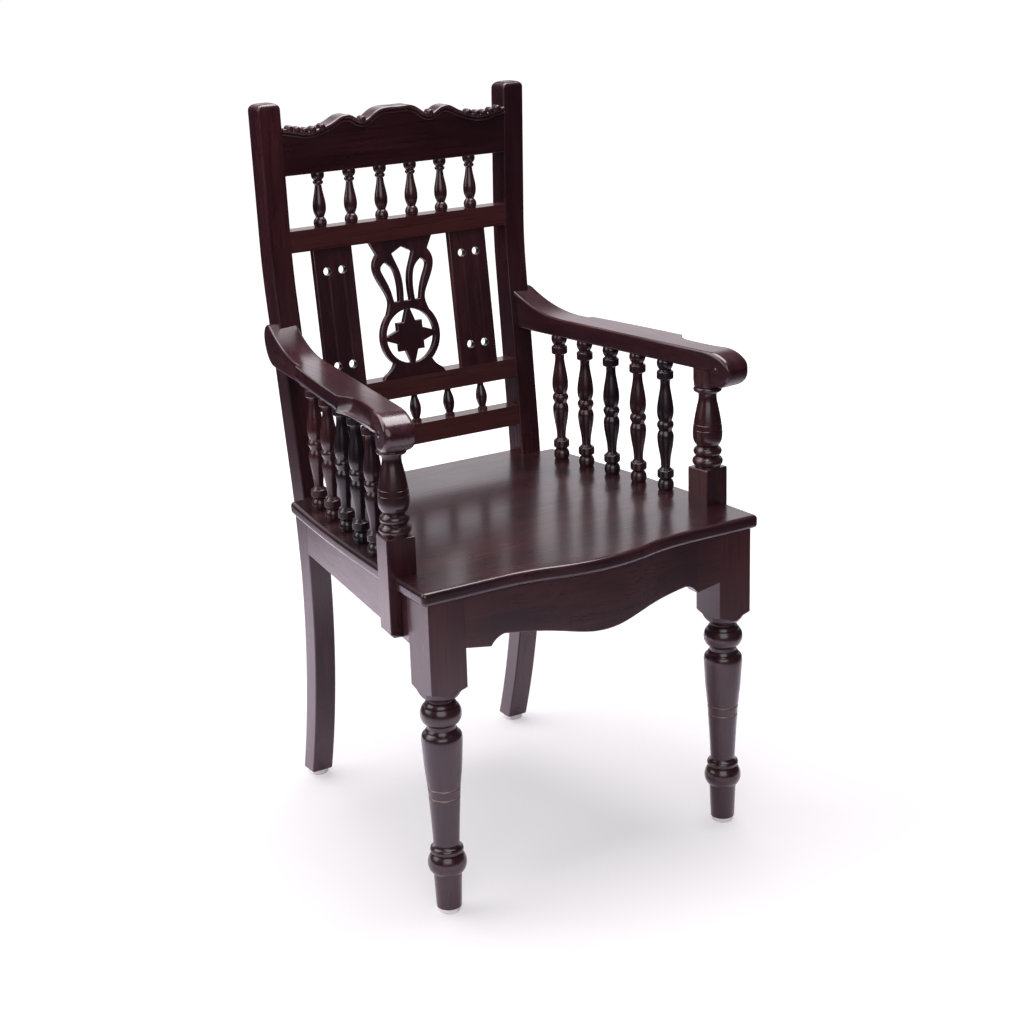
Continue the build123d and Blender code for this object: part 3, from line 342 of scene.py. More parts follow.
def soft_rectangle(u1, u2, v1, v2, radius, steps=3):
    """Points round a rectangle with rounded corners."""
    points = []
    for turn, (u, v) in enumerate(((u2 - radius, v2 - radius), (u1 + radius, v2 - radius),
                                   (u1 + radius, v1 + radius), (u2 - radius, v1 + radius))):
        points += on_circle((u, v), radius, turn * QUARTER, (turn + 1) * QUARTER, steps + 1)
    return points


def soft_block(u1, u2, v1, v2, w1, w2, ease, place, steps=3):
    """A block with every edge eased, in the frame of a placing matrix."""
    turns = np.linspace(0, QUARTER, steps + 1)
    levels = [(ease * (1 - math.sin(a)), w1 + ease * (1 - math.cos(a))) for a in turns]
    levels += [(inset, w2 - (w - w1)) for inset, w in reversed(levels)]
    skins = []
    for inset, w in levels:
        corner = max(ease - inset, 0.02)
        loop = soft_rectangle(u1 + inset, u2 - inset, v1 + inset, v2 - inset, corner, steps)
        skins.append([place @ Vector((u * MM, v * MM, w * MM)) for u, v in loop])
    return loft(skins)


def joined(meshes):
    """Several closed meshes as one."""
    bm = bmesh.new()
    for mesh in meshes:
        bm.from_mesh(mesh)
        bpy.data.meshes.remove(mesh)
    return plain_mesh(bm)


def boolean(mesh, other, operation):
    """One mesh cut by, joined to or kept inside another."""
    first, second = scratch(mesh), scratch(other)
    cut = first.modifiers.new("cut", "BOOLEAN")
    cut.operation = operation
    cut.solver = "EXACT"
    cut.object = second
    out = evaluated(first)
    bpy.data.objects.remove(second)
    bpy.data.meshes.remove(other)
    return tidy_mesh(out)


def mark(mesh, name, test):
    """Note on the mesh, in an attribute that the finish reads, which points pass a test."""
    marks = mesh.attributes.new(name, "FLOAT", "POINT")
    for vertex, spot in zip(mesh.vertices, marks.data):
        spot.value = float(test(vertex.co))


def finished(name, mesh, material, nodes, sharp=32.0):
    """The named piece: shading set, material on, riding on the chair in place of its nodes."""
    mesh.shade_smooth()
    mesh.set_sharp_from_angle(angle=math.radians(sharp))
    obj = scratch(mesh)
    even = obj.modifiers.new("even shading", "WEIGHTED_NORMAL")
    even.weight = 50
    even.keep_sharp = True
    mesh = evaluated(obj)
    mesh.name = name
    mesh.materials.clear()
    mesh.materials.append(material)
    for polygon in mesh.polygons:
        polygon.material_index = 0
    piece = bpy.data.objects.new(name, mesh)
    bpy.context.scene.collection.objects.link(piece)
    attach(piece, "root")
    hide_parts(*nodes)


# Nodes


def fill(tree, slots, values):
    """Set a node's inputs to numbers and colours, or join outputs to them."""
    for key, value in values.items():
        if isinstance(value, NodeSocket):
            tree.links.new(value, slots[key])
        else:
            slots[key].default_value = value


def node(tree, kind, inputs=None, **settings):
    """A new node with its settings, and its inputs by name or number."""
    made = tree.nodes.new(kind)
    for key, value in settings.items():
        setattr(made, key, value)
    fill(tree, made.inputs, inputs or {})
    return made


def maths(tree, operation, *values):
    return node(tree, "ShaderNodeMath", dict(enumerate(values)), operation=operation).outputs[0]


def node_tree(name, inputs):
    """A geometry tree with named inputs, and the outputs that give them."""
    tree = bpy.data.node_groups.new(name, "GeometryNodeTree")
    for label, kind in {"Geometry": "Geometry", **inputs}.items():
        tree.interface.new_socket(name=label, in_out="INPUT", socket_type=f"NodeSocket{kind}")
    tree.interface.new_socket(name="Geometry", in_out="OUTPUT", socket_type="NodeSocketGeometry")
    return tree, node(tree, "NodeGroupInput").outputs


def dressed(tree, shape, finish):
    """End a tree in real geometry that wears its finish."""
    real = node(tree, "GeometryNodeRealizeInstances", {0: shape})
    worn = node(tree, "GeometryNodeSetMaterial", {"Geometry": real.outputs[0], "Material": finish})
    node(tree, "NodeGroupOutput", {0: worn.outputs[0]})
    return tree


def turned_row_tree():
    """Node tree: a profile of radius and height is turned round Z, and set out in a row."""
    tree, given = node_tree("Turned row", {
        "Steps round": "Int", "Count": "Int", "First place": "Vector", "Spacing": "Vector",
        "Lean": "Vector", "Finish": "Material",
    })
    size = node(tree, "GeometryNodeAttributeDomainSize", {"Geometry": given["Geometry"]})
    points = size.outputs["Point Count"]
    grid = node(tree, "GeometryNodeMeshGrid", {
        "Size X": 1, "Size Y": 1, "Vertices X": points,
        "Vertices Y": maths(tree, "ADD", given["Steps round"], 1),
    })
    position = node(tree, "GeometryNodeInputPosition").outputs[0]
    flat = node(tree, "ShaderNodeSeparateXYZ", {0: position}).outputs
    along, about = (maths(tree, "ADD", flat[i], 0.5) for i in (0, 1))
    last = maths(tree, "SUBTRACT", points, 1)
    angle = maths(tree, "MULTIPLY", about, math.tau)
    sample = node(tree, "GeometryNodeSampleIndex", {
        "Geometry": given["Geometry"], "Value": position,
        "Index": maths(tree, "ROUND", maths(tree, "MULTIPLY", along, last)),
    }, data_type="FLOAT_VECTOR")
    radius, _, height = node(tree, "ShaderNodeSeparateXYZ", {0: sample.outputs["Value"]}).outputs
    turned = node(tree, "ShaderNodeCombineXYZ", {
        0: maths(tree, "MULTIPLY", radius, maths(tree, "COSINE", angle)),
        1: maths(tree, "MULTIPLY", radius, maths(tree, "SINE", angle)),
        2: height,
    })
    shape = node(tree, "GeometryNodeSetPosition", {
        "Geometry": grid.outputs["Mesh"], "Position": turned.outputs[0],
    })
    merge = node(tree, "GeometryNodeMergeByDistance", {"Geometry": shape.outputs[0], "Distance": 1e-6})
    line = node(tree, "GeometryNodeMeshLine", {
        "Count": given["Count"], "Start Location": given["First place"], "Offset": given["Spacing"],
    }, mode="OFFSET")
    lean = node(tree, "FunctionNodeEulerToRotation", {0: given["Lean"]})
    row = node(tree, "GeometryNodeInstanceOnPoints", {
        "Points": line.outputs["Mesh"], "Instance": merge.outputs[0], "Rotation": lean.outputs[0],
    })
    return dressed(tree, row.outputs[0], given["Finish"])


def edge_bead_tree():
    """Node tree: a round bead follows a line, with its ends closed."""
    tree, given = node_tree("Edge bead", {
        "Bead radius": "Float", "Steps round": "Int", "Finish": "Material",
    })
    line = node(tree, "GeometryNodeMeshToCurve", {"Mesh": given["Geometry"]})
    ring = node(tree, "GeometryNodeCurvePrimitiveCircle", {
        "Resolution": given["Steps round"], "Radius": given["Bead radius"],
    })
    sweep = node(tree, "GeometryNodeCurveToMesh", {
        "Curve": line.outputs[0], "Profile Curve": ring.outputs["Curve"], "Fill Caps": True,
    })
    return dressed(tree, sweep.outputs[0], given["Finish"])


TREES = {}


def grown(make_tree, points, inputs):
    """Mesh that a node tree makes from a line of points."""
    if make_tree not in TREES:
        TREES[make_tree] = make_tree()
    mesh = bpy.data.meshes.new("scratch")
    mesh.from_pydata(points, [(i, i + 1) for i in range(len(points) - 1)], [])
    obj = scratch(mesh)
    grow = obj.modifiers.new("grow", "NODES")
    grow.node_group = TREES[make_tree]
    for item in grow.node_group.interface.items_tree:
        if item.in_out == "INPUT" and item.name in inputs:
            grow[item.identifier] = inputs[item.name]
    return tidy_mesh(evaluated(obj), TURNING_GAP)


def turned_row(profile, first, material, steps, count=1, spacing=(0, 0, 0), lean=(0, 0, 0)):
    """Turned pieces in a row, closed at both ends. The profile is (radius, height) in millimetres."""
    ends = (0, profile[0][1]), (0, profile[-1][1])
    line = clean_loop([ends[0], *profile]) + [ends[1]]
    return grown(turned_row_tree, [(r * MM, 0, h * MM) for r, h in line], {
        "Steps round": steps, "Count": count, "First place": tuple(first),
        "Spacing": tuple(spacing), "Lean": tuple(lean), "Finish": material,
    })


def edge_bead(points, radius, material, steps=10):
    """A bead along a line of points in metres."""
    return grown(edge_bead_tree, [tuple(p) for p in points], {
        "Bead radius": radius * MM, "Steps round": steps, "Finish": material,
    })


# Finishes

RAIL_WOOD = "rail_grain_wood"
ARM_WOOD = "arm_grain_wood"
POST_WOOD = "post_grain_wood"
NYLON = "moulded_nylon"
STEEL = "plated_steel"
# Each wood's grain axis, then a factor on its colours. The factor is painted light: pieces with rail grain are
# darkened and pieces with arm grain lightened for how light falls on their faces.
WOOD_GRAIN_AND_PAINTED_LIGHT = {RAIL_WOOD: ("X", 0.82), ARM_WOOD: ("Y", 1.2), POST_WOOD: ("Z", 1.0)}
GRAIN_STRETCH = 0.06
PORE_STRETCH = 0.03
CLOUD_TINT = (0.45, 0.5, 0.6)
DARK_STAIN = (0.4, 0.75, 0.8)
EVEN = (1.0, 1.0, 1.0)


def noise(tree, place, stretch, scale, detail, rough, distortion=0.0):
    """Noise drawn out along the grain."""
    turn = node(tree, "ShaderNodeMapping", {"Vector": place, "Scale": stretch})
    return node(tree, "ShaderNodeTexNoise", {
        "Vector": turn.outputs[0], "Scale": scale, "Detail": detail, "Roughness": rough,
        "Distortion": distortion,
    }).outputs["Fac"]


def ramp(tree, factor, *stops):
    """Colours by a factor."""
    made = node(tree, "ShaderNodeValToRGB", {"Fac": factor})
    elements = made.color_ramp.elements
    while len(elements) < len(stops):
        elements.new(0.5)
    for element, (at, colour) in zip(elements, stops):
        element.position = at
        element.color = (*colour, 1)
    return made.outputs["Color"]


def spread(tree, value, low, high, to_low, to_high):
    """A value carried from one range to another."""
    return node(tree, "ShaderNodeMapRange", {
        "Value": value, "From Min": low, "From Max": high, "To Min": to_low, "To Max": to_high,
    }).outputs["Result"]


def blended(tree, kind, factor, first, second):
    """A colour mixed with another by a factor."""
    return node(tree, "ShaderNodeMix", {0: factor, 6: first, 7: (*second, 1)},
                data_type="RGBA", blend_type=kind).outputs[2]


def marked(tree, name):
    """What the mesh notes under a name."""
    return node(tree, "ShaderNodeAttribute", attribute_name=name).outputs["Fac"]


def relief(tree, height, strength, distance):
    return node(tree, "ShaderNodeBump", {
        "Height": height, "Strength": strength, "Distance": distance,
    }).outputs[0]


def shaded(colour, factor):
    return tuple(c * factor for c in colour)


def blank_finish(name):
    """A new material, its tree, its shader's inputs and the piece's own coordinates."""
    material = bpy.data.materials.new(name)
    material.use_nodes = True
    tree = material.node_tree
    place = node(tree, "ShaderNodeTexCoord").outputs["Object"]
    return material, tree, tree.nodes["Principled BSDF"].inputs, place


def polished_wood(name, grain, painted_light_level, finish):
    """Dark stained wood under a polish, its grain along one axis, its colours scaled by a level of painted
    light.
    """
    material, tree, shader, place = blank_finish(name)
    along, fine = ([pull if axis == grain else 1.0 for axis in "XYZ"]
                   for pull in (GRAIN_STRETCH, PORE_STRETCH))
    figure = noise(tree, place, along, scale=26, detail=4, rough=0.55, distortion=0.7)
    fibre = noise(tree, place, along, scale=210, detail=6, rough=0.62, distortion=0.25)
    pore = noise(tree, place, fine, scale=950, detail=3, rough=0.5)
    cloud = noise(tree, place, EVEN, scale=7, detail=2, rough=0.5)
    # Painted light: the stain's colours are scaled up or down for each group of pieces.
    wood = shaded(finish.wood_colour, painted_light_level)
    tone = maths(tree, "ADD", maths(tree, "MULTIPLY", figure, 0.7), maths(tree, "MULTIPLY", fibre, 0.3))
    colour = ramp(tree, tone, (0.30, shaded(wood, 0.72)), (0.47, wood),
                  (0.60, shaded(finish.grain_colour, painted_light_level)), (0.74, shaded(wood, 0.85)))
    dark = spread(tree, cloud, 0.35, 0.65, 0.0, 0.7)
    colour = blended(tree, "MULTIPLY", dark, colour, CLOUD_TINT)
    open_pore = spread(tree, pore, 0.56, 0.70, 0.0, 0.09)
    colour = blended(tree, "MIX", open_pore, colour, shaded(wood, 0.25))
    worn = spread(tree, node(tree, "ShaderNodeNewGeometry").outputs["Pointiness"], 0.52, 0.6, 0.0, 0.6)
    colour = blended(tree, "MIX", maths(tree, "MULTIPLY", worn, fibre), colour, finish.rubbed_colour)
    colour = blended(tree, "MULTIPLY", marked(tree, "stained"), colour, DARK_STAIN)
    broken = spread(tree, cloud, 0.4, 0.6, 0.25, 0.9)
    scored = maths(tree, "MULTIPLY", marked(tree, "scored"), broken)
    colour = blended(tree, "MIX", scored, colour, finish.bare_colour)
    rough = maths(tree, "ADD", spread(tree, fibre, 0.3, 0.7, finish.polish - 0.04, finish.polish + 0.08),
                  spread(tree, cloud, 0.3, 0.7, 0.0, 0.06))
    fill(tree, shader, {
        "Base Color": colour, "Roughness": rough,
        "Normal": relief(tree, maths(tree, "SUBTRACT", fibre, open_pore), 0.05, 0.0004),
        "Specular IOR Level": 0.3, "Coat Weight": 0.8, "Coat Roughness": 0.18, "Coat IOR": 1.5,
    })
    return material


def nylon(name, colour):
    """Pale moulded nylon with faint scuffs."""
    material, tree, shader, place = blank_finish(name)
    cloud = noise(tree, place, EVEN, scale=60, detail=4, rough=0.6)
    scuff = noise(tree, place, (1.0, 1.0, 0.2), scale=400, detail=3, rough=0.6, distortion=0.6)
    tint = ramp(tree, cloud, (0.3, shaded(colour, 0.82)), (0.65, colour))
    scratched = spread(tree, scuff, 0.6, 0.75, 0.0, 0.4)
    fill(tree, shader, {
        "Base Color": blended(tree, "MIX", scratched, tint, shaded(colour, 0.6)),
        "Roughness": spread(tree, scuff, 0.3, 0.7, 0.32, 0.5),
        "Normal": relief(tree, scuff, 0.1, 0.0003),
        "Subsurface Weight": 0.25, "Subsurface Radius": (0.004, 0.004, 0.004),
    })
    return material


def zinc_steel(name, colour):
    """Plated steel of screws and nails."""
    material, tree, shader, place = blank_finish(name)
    cloud = noise(tree, place, EVEN, scale=300, detail=4, rough=0.6, distortion=0.3)
    fill(tree, shader, {
        "Base Color": ramp(tree, cloud, (0.35, shaded(colour, 0.6)), (0.6, colour)),
        "Roughness": spread(tree, cloud, 0.3, 0.7, 0.28, 0.5), "Metallic": 1.0,
    })
    return material


def finish_for(context, kind):
    """The named finish, made the first time that it is asked for."""
    if kind in bpy.data.materials:
        return bpy.data.materials[kind]
    colours = context.scene.armchair_finish
    if kind == NYLON:
        return nylon(kind, tuple(colours.glide_colour))
    if kind == STEEL:
        return zinc_steel(kind, tuple(colours.steel_colour))
    return polished_wood(kind, *WOOD_GRAIN_AND_PAINTED_LIGHT[kind], colours)


class ArmchairSizes(PropertyGroup):
    """Sizes of the visible shaping that a user may change."""

    post_ease: FloatProperty(
        name="Post edge", description="Rounding of the back posts' edges",
        default=0.0022, min=0.0003, max=0.006, precision=4, subtype="DISTANCE", unit="LENGTH",
    )
    rail_ease: FloatProperty(
        name="Rail edge", description="Rounding of the rails' edges",
        default=0.0016, min=0.0003, max=0.005, precision=4, subtype="DISTANCE", unit="LENGTH",
    )
    carving_ease: FloatProperty(
        name="Carving edge", description="Rounding of the splat's cut edges",
        default=0.0018, min=0.0002, max=0.0021, precision=4, subtype="DISTANCE", unit="LENGTH",
    )
    slat_ease: FloatProperty(
        name="Slat edge", description="Rounding of the slats' edges",
        default=0.0012, min=0.0002, max=0.0025, precision=4, subtype="DISTANCE", unit="LENGTH",
    )
    seat_edge: FloatProperty(
        name="Seat edge", description="Rounding of the seat's edge",
        default=0.0056, min=0.001, max=0.0085, precision=4, subtype="DISTANCE", unit="LENGTH",
    )
    arm_ease: FloatProperty(
        name="Arm edge", description="Rounding of the arms' edges",
        default=0.0032, min=0.0005, max=0.008, precision=4, subtype="DISTANCE", unit="LENGTH",
    )
    bead_radius: FloatProperty(
        name="Crest bead", description="Radius of the bead along the crest",
        default=0.0032, min=0.0008, max=0.004, precision=4, subtype="DISTANCE", unit="LENGTH",
    )
    turning_steps: IntProperty(
        name="Turning steps", description="Flats round each turned piece", default=40, min=16, max=96,
    )


class ArmchairFinish(PropertyGroup):
    """Colours and polish of the chair."""

    wood_colour: FloatVectorProperty(
        name="Wood", description="Main colour of the stained wood", subtype="COLOR",
        default=(0.0290, 0.0068, 0.0105), min=0.0, max=1.0,
    )
    grain_colour: FloatVectorProperty(
        name="Grain", description="Warmer colour of the figure in the wood", subtype="COLOR",
        default=(0.0520, 0.0135, 0.0160), min=0.0, max=1.0,
    )
    rubbed_colour: FloatVectorProperty(
        name="Rubbed edges", description="Colour where the stain is rubbed thin", subtype="COLOR",
        default=(0.1150, 0.0330, 0.0270), min=0.0, max=1.0,
    )
    bare_colour: FloatVectorProperty(
        name="Bare wood", description="Colour of bare wood in a scored line", subtype="COLOR",
        default=(0.4200, 0.3000, 0.2500), min=0.0, max=1.0,
    )
    polish: FloatProperty(
        name="Polish", description="Roughness of the polished wood", subtype="FACTOR",
        default=0.27, min=0.1, max=0.7,
    )
    glide_colour: FloatVectorProperty(
        name="Glides", description="Colour of the nylon glides", subtype="COLOR",
        default=(0.93, 0.93, 0.95), min=0.0, max=1.0,
    )
    steel_colour: FloatVectorProperty(
        name="Steel", description="Colour of screws and nails", subtype="COLOR",
        default=(0.52, 0.51, 0.49), min=0.0, max=1.0,
    )


# Pieces

# The front and rear lines of a back post in side view, as (depth, height): a swept foot, then the
# corners of the bent and leaning upper part.
POST_FOOT_TOP = 340.0
POST_FOOTS = (
    ((236.0, GLIDE_TOP), (198.05, 174.0), (185.4, POST_FOOT_TOP)),
    ((266.0, GLIDE_TOP), (229.67, 174.0), (216.9, POST_FOOT_TOP)),
)
POST_BACKS = (
    ((185.4, LEAN_LOW), (226.5, LEAN_HIGH), (226.5, CHAIR_TOP)),
    ((222.4, LEAN_LOW), (262.0, LEAN_HIGH), (262.0, CHAIR_TOP)),
)
POST_BEND = 600.0
POST_TOP_ROUND = {"front": 6.0, "rear": 12.0, "sides": 8.0}
POST_FOOT_EASE = 1.4
POST_FOOT_SLOPE = 0.7


def post_lines():
    """The post's front and rear lines."""
    lines = []
    for foot, back in zip(POST_FOOTS, POST_BACKS):
        line = [foot[0]] + arc(*foot, 22) + eased([foot[-1], *back], POST_BEND)[1:]
        lines.append([(z, y) for y, z in line])
    return lines


def post_turn(z, radius):
    """How far a post's face has turned in at a height, below the top or above the foot."""
    rise = max(z - (CHAIR_TOP - radius), 0.0)
    lift = max(POST_FOOT_EASE - (z - GLIDE_TOP), 0.0)
    return radius - math.sqrt(max(radius ** 2 - rise ** 2, 0.0)) + POST_FOOT_SLOPE * lift


class ARMCHAIR_OT_back_posts(Operator):
    """Make the two back posts, each cut in one piece from the floor to its rounded top"""

    bl_idname = "armchair.back_posts"
    bl_label = "Back posts"
    bl_options = UNDOABLE

    def execute(self, context):
        ease = context.scene.armchair_sizes.post_ease / MM
        front, rear = post_lines()
        top = POST_TOP_ROUND["rear"]
        heights = [GLIDE_TOP, GLIDE_TOP + 0.5, GLIDE_TOP + POST_FOOT_EASE, *np.linspace(16, 980, 74)]
        heights += [CHAIR_TOP - top + top * math.sin(a) for a in np.linspace(0, QUARTER, 11)]
        for side, label in SIDES:
            rings = []
            for z in heights:
                y1 = height_at(z, front) + post_turn(z, POST_TOP_ROUND["front"])
                y2 = height_at(z, rear) - post_turn(z, POST_TOP_ROUND["rear"])
                turn = post_turn(z, POST_TOP_ROUND["sides"])
                x1, x2 = post_inner(z) + turn, post_outer(z) - turn
                loop = soft_rectangle(x1, x2, y1, y2, ease + 0.35 * turn, 4)
                rings.append([place_at(side * x, y, z) for x, y in loop])
            finished(f"sawn_back_post_{label}", loft(rings), finish_for(context, POST_WOOD),
                     [f"back_post_{label}"])
        return {"FINISHED"}


class ARMCHAIR_OT_back_rails(Operator):
    """Make the three plain rails of the back"""

    bl_idname = "armchair.back_rails"
    bl_label = "Back rails"
    bl_options = UNDOABLE

    def execute(self, context):
        ease = context.scene.armchair_sizes.rail_ease / MM
        for label, (low, high) in RAILS.items():
            y1, y2 = (back_line(z) + RAIL_SETBACK for z in (low, high))
            section = [(y1, low), (y1 + RAIL_DEEP, low), (y2 + RAIL_DEEP, high), (y2, high)]
            reach = post_inner(high) + HIDDEN + 1
            place = axes(place_at(reach, 0, 0), (0, 1, 0), (0, 0, 1), (1, 0, 0))
            finished(f"plain_{label}_rail", board([section], 2 * reach, ease, place, 3),
                     finish_for(context, RAIL_WOOD), [f"{label}_back_rail"])
        return {"FINISHED"}


CREST_HALF = (
    (176.8, 65.0), (156, 61.0), (140, 58.0), (118, 61.5), (98, 69.0), (89, 73.8), (80, 75.6),
    (71, 74.0), (63, 69.4), (54, 66.0), (34, 76.0), (23, 80.4), (0, 81.0),
)
CREST_OVERRUN = 1.01
CREST_EASE = 1.3
FILLET = {"drop": 8.0, "proud": 0.2, "radius": 1.5}
BEAD = {"drop": 2.9, "proud": -0.1}
ROLL_PLACES = ((54, 66.0), (117, 61.0), (131, 58.6), (143, 58.0), (155, 60.2), (166, 62.4))
ROLL_RISE = 1.3
ROLL_PROFILE = ((1.8, 0.4), (3.6, 1.0), (4.5, 2.1), (4.8, 3.5), (4.8, 13.0), (4.5, 14.4),
                (3.6, 15.5), (1.8, 16.1))


def crest_line(drop=0.0):
    """The scalloped top edge from right to left, lowered square to itself."""
    right = [(x, CREST_BOTTOM + z) for x, z in CREST_HALF]
    points = [right[0]] + spline(right + flipped(right[:-1]), 8)
    out = []
    for i, (x, z) in enumerate(points):
        a, b = points[max(i - 1, 0)], points[min(i + 1, len(points) - 1)]
        run = math.dist(a, b)
        out.append((x - drop * (b[1] - a[1]) / run, z + drop * (b[0] - a[0]) / run))
    return out


class ARMCHAIR_OT_crest(Operator):
    """Make the scalloped crest rail with its bead, fillet and small rolls"""

    bl_idname = "armchair.crest"
    bl_label = "Crest rail"
    bl_options = UNDOABLE

    def execute(self, context):
        wood = finish_for(context, RAIL_WOOD)
        end = post_inner(CREST_BOTTOM) + HIDDEN
        outline = [(x * CREST_OVERRUN, z) for x, z in crest_line()]
        outline += [(-end, CREST_BOTTOM), (end, CREST_BOTTOM)]
        place = axes(place_at(0, CREST_FRONT, 0), (1, 0, 0), (0, 0, 1), (0, -1, 0))
        parts = [board([outline], RAIL_DEEP, CREST_EASE, place)]
        bead = {**BEAD, "radius": context.scene.armchair_sizes.bead_radius / MM}
        for trim in (bead, FILLET):
            path = [place_at(x, CREST_FRONT - trim["proud"], z) for x, z in crest_line(trim["drop"])]
            parts.append(edge_bead(path, trim["radius"], wood))
        for x, z in ROLL_PLACES:
            for side in (1, -1):
                first = place_at(side * x, CREST_FRONT + RAIL_DEEP / 2 - 1, CREST_BOTTOM + z + ROLL_RISE)
                parts.append(turned_row(ROLL_PROFILE, first, wood, 20, lean=(QUARTER, 0, 0)))
        finished("scalloped_crest", joined(parts), wood, ["crest_rail"])
        return {"FINISHED"}


# Turned profiles give shares of a piece's greatest radius and of its height.
CREST_SPINDLE = {"radius": 9.4, "tall": 76.0, "pitch": 48.8, "count": 6}
CREST_SPINDLE_PROFILE = (
    (0.86, 0),
    ("arc", (1, 0.075), (0.74, 0.155)),
    ("line", (0.6, 0.175)),
    ("curve", (0.93, 0.285), (0.99, 0.36), (0.84, 0.52), (0.6, 0.67), (0.5, 0.765)),
    ("line", (0.66, 0.785)),
    ("arc", (0.78, 0.815), (0.64, 0.845)),
    ("line", (0.6, 0.855)),
    ("curve", (0.84, 0.885), (0.97, 0.93), (0.94, 1)),
)
LOWER_SPINDLE = {"radius": 8.2, "tall": 42.1, "pitch": 56.3, "count": 5}
LOWER_SPINDLE_PROFILE = (
    (0.86, -0.04),
    ("line", (0.86, 0.1), (0.6, 0.13)),
    ("curve", (1, 0.42), (0.9, 0.66), (0.56, 0.88)),
    ("line", (0.6, 1.05)),
)


def back_spindles(context, label, size, profile, y, z, lean):
    """A row of like spindles across the back."""
    wood = finish_for(context, POST_WOOD)
    count, pitch = size["count"], size["pitch"]
    first = place_at(-(count - 1) / 2 * pitch, y, z)
    mesh = turned_row(turning(profile, size["radius"], 0, size["tall"]), first, wood,
                      context.scene.armchair_sizes.turning_steps, count, (pitch * MM, 0, 0), (lean, 0, 0))
    finished(f"turned_{label}_spindles", mesh, wood, [f"{label}_spindle_{i + 1}" for i in range(count)])


class ARMCHAIR_OT_crest_spindles(Operator):
    """Turn the six spindles between the upper rail and the crest"""

    bl_idname = "armchair.crest_spindles"
    bl_label = "Crest spindles"
    bl_options = UNDOABLE

    def execute(self, context):
        foot = CREST_BOTTOM - CREST_SPINDLE["tall"]
        back_spindles(context, "crest", CREST_SPINDLE, CREST_SPINDLE_PROFILE,
                      CREST_FRONT + RAIL_DEEP / 2, foot, 0)
        return {"FINISHED"}


class ARMCHAIR_OT_lower_spindles(Operator):
    """Turn the five short spindles low in the back, leaning with it"""

    bl_idname = "armchair.lower_spindles"
    bl_label = "Lower spindles"
    bl_options = UNDOABLE

    def execute(self, context):
        middle = back_line(BOTTOM_RAIL_TOP) + RAIL_SETBACK + RAIL_DEEP / 2
        back_spindles(context, "lower", LOWER_SPINDLE, LOWER_SPINDLE_PROFILE,
                      middle, BOTTOM_RAIL_TOP, -LEAN_ANGLE)
        return {"FINISHED"}


# The splat's lines go up the leaning back. Its openings give shares of the half width, down from its top.
SPLAT_HALF = 51.0
SPLAT_THICK = 9.0
SPLAT_SETBACK = 0.5
SPLAT_OVERRUN = 1.0
WAIST_HALF = 41.5
WAIST_DROP = 0.359
NECK = ((47.0, 0.167), (49.0, 0.353), (46.3, 0.608), (40.2, 0.863), (33.2, 1.125), (29.8, 1.373),
        (31.0, 1.514), (35.5, 1.745))
RING_HEIGHT = 58.5
RING_OUTER = 48.6
RING_INNER = 39.0
FOOT_TURN = 0.65
FOOT_STEPS = ((36.6, 0.657), (43.0, 0.412), (48.6, 0.213), (SPLAT_HALF, 0))
TEAR_IN = ((0.263, 1.735), (0.245, 1.418), (0.275, 1.051), (0.357, 0.81), (0.575, 0.602))
TEAR_OUT = ((0.575, 0.602), (0.726, 0.751), (0.678, 0.937), (0.51, 1.32), (0.408, 1.735))
NOTCH = ((0.331, 0.386), (0.259, 0.575), (0.141, 0.878), (0.077, 1.32), (0.098, 1.735))
NOTCH_TOP = 0.216
NOTCH_END = 1.735
STAR_SQUARE = 20.8
STAR_ROOT = 10.8
STAR_TIP = 2.6
STAR_REACH = 1.05 * RING_INNER


def splat_outline():
    """The splat's outer edge: waisted head, round body and stepped foot."""
    waist = SPLAT_TALL - WAIST_DROP * SPLAT_HALF
    top = SPLAT_TALL + SPLAT_OVERRUN
    half = [(0, top), (SPLAT_HALF, top), (SPLAT_HALF, SPLAT_TALL), (WAIST_HALF, waist)]
    neck = spline([half[-1], *((x, waist - drop * SPLAT_HALF) for x, drop in NECK)])
    half += [(x, z) for x, z in neck if math.hypot(x, z - RING_HEIGHT) > RING_OUTER]
    start = math.atan2(half[-1][1] - RING_HEIGHT, half[-1][0])
    end = -math.acos(FOOT_TURN)
    half += on_circle((0, RING_HEIGHT), RING_OUTER, start, end, 31)[1:]
    foot = half[-1]
    steps = [(x, share * foot[1]) for x, share in FOOT_STEPS]
    half += arc(foot, *steps[:2], 7) + arc(*steps[1:], 7)
    return mirrored(half + [(SPLAT_HALF, -SPLAT_OVERRUN), (0, -SPLAT_OVERRUN)])


def splat_openings():
    """The two teardrops, the notch between them and the four openings round the star."""
    def down(shares):
        return [(x * SPLAT_HALF, SPLAT_TALL - drop * SPLAT_HALF) for x, drop in shares]

    inner, outer, notch = map(down, (TEAR_IN, TEAR_OUT, NOTCH))
    tear = [inner[0]] + spline(inner) + spline(outer)
    top, end = down(((0, NOTCH_TOP), (0, NOTCH_END)))
    loops = [tear, [(-x, y) for x, y in tear], mirrored([top, notch[0], *spline(notch), end])]
    fall = (STAR_ROOT - STAR_TIP) / (STAR_REACH - 0.9 * STAR_SQUARE)
    corner = STAR_ROOT - fall * 0.1 * STAR_SQUARE
    x = RING_INNER
    for _ in range(30):
        y = corner - fall * (x - STAR_SQUARE)
        x = math.sqrt(RING_INNER ** 2 - y ** 2)
    bend = math.atan2(y, x)
    quarter = [(STAR_SQUARE, corner), *on_circle((0, 0), RING_INNER, bend, QUARTER - bend, 14),
               (corner, STAR_SQUARE), (STAR_SQUARE, STAR_SQUARE)]
    for c, s in ((1, 0), (0, 1), (-1, 0), (0, -1)):
        loops.append([(c * u - s * v, RING_HEIGHT + s * u + c * v) for u, v in quarter])
    return loops


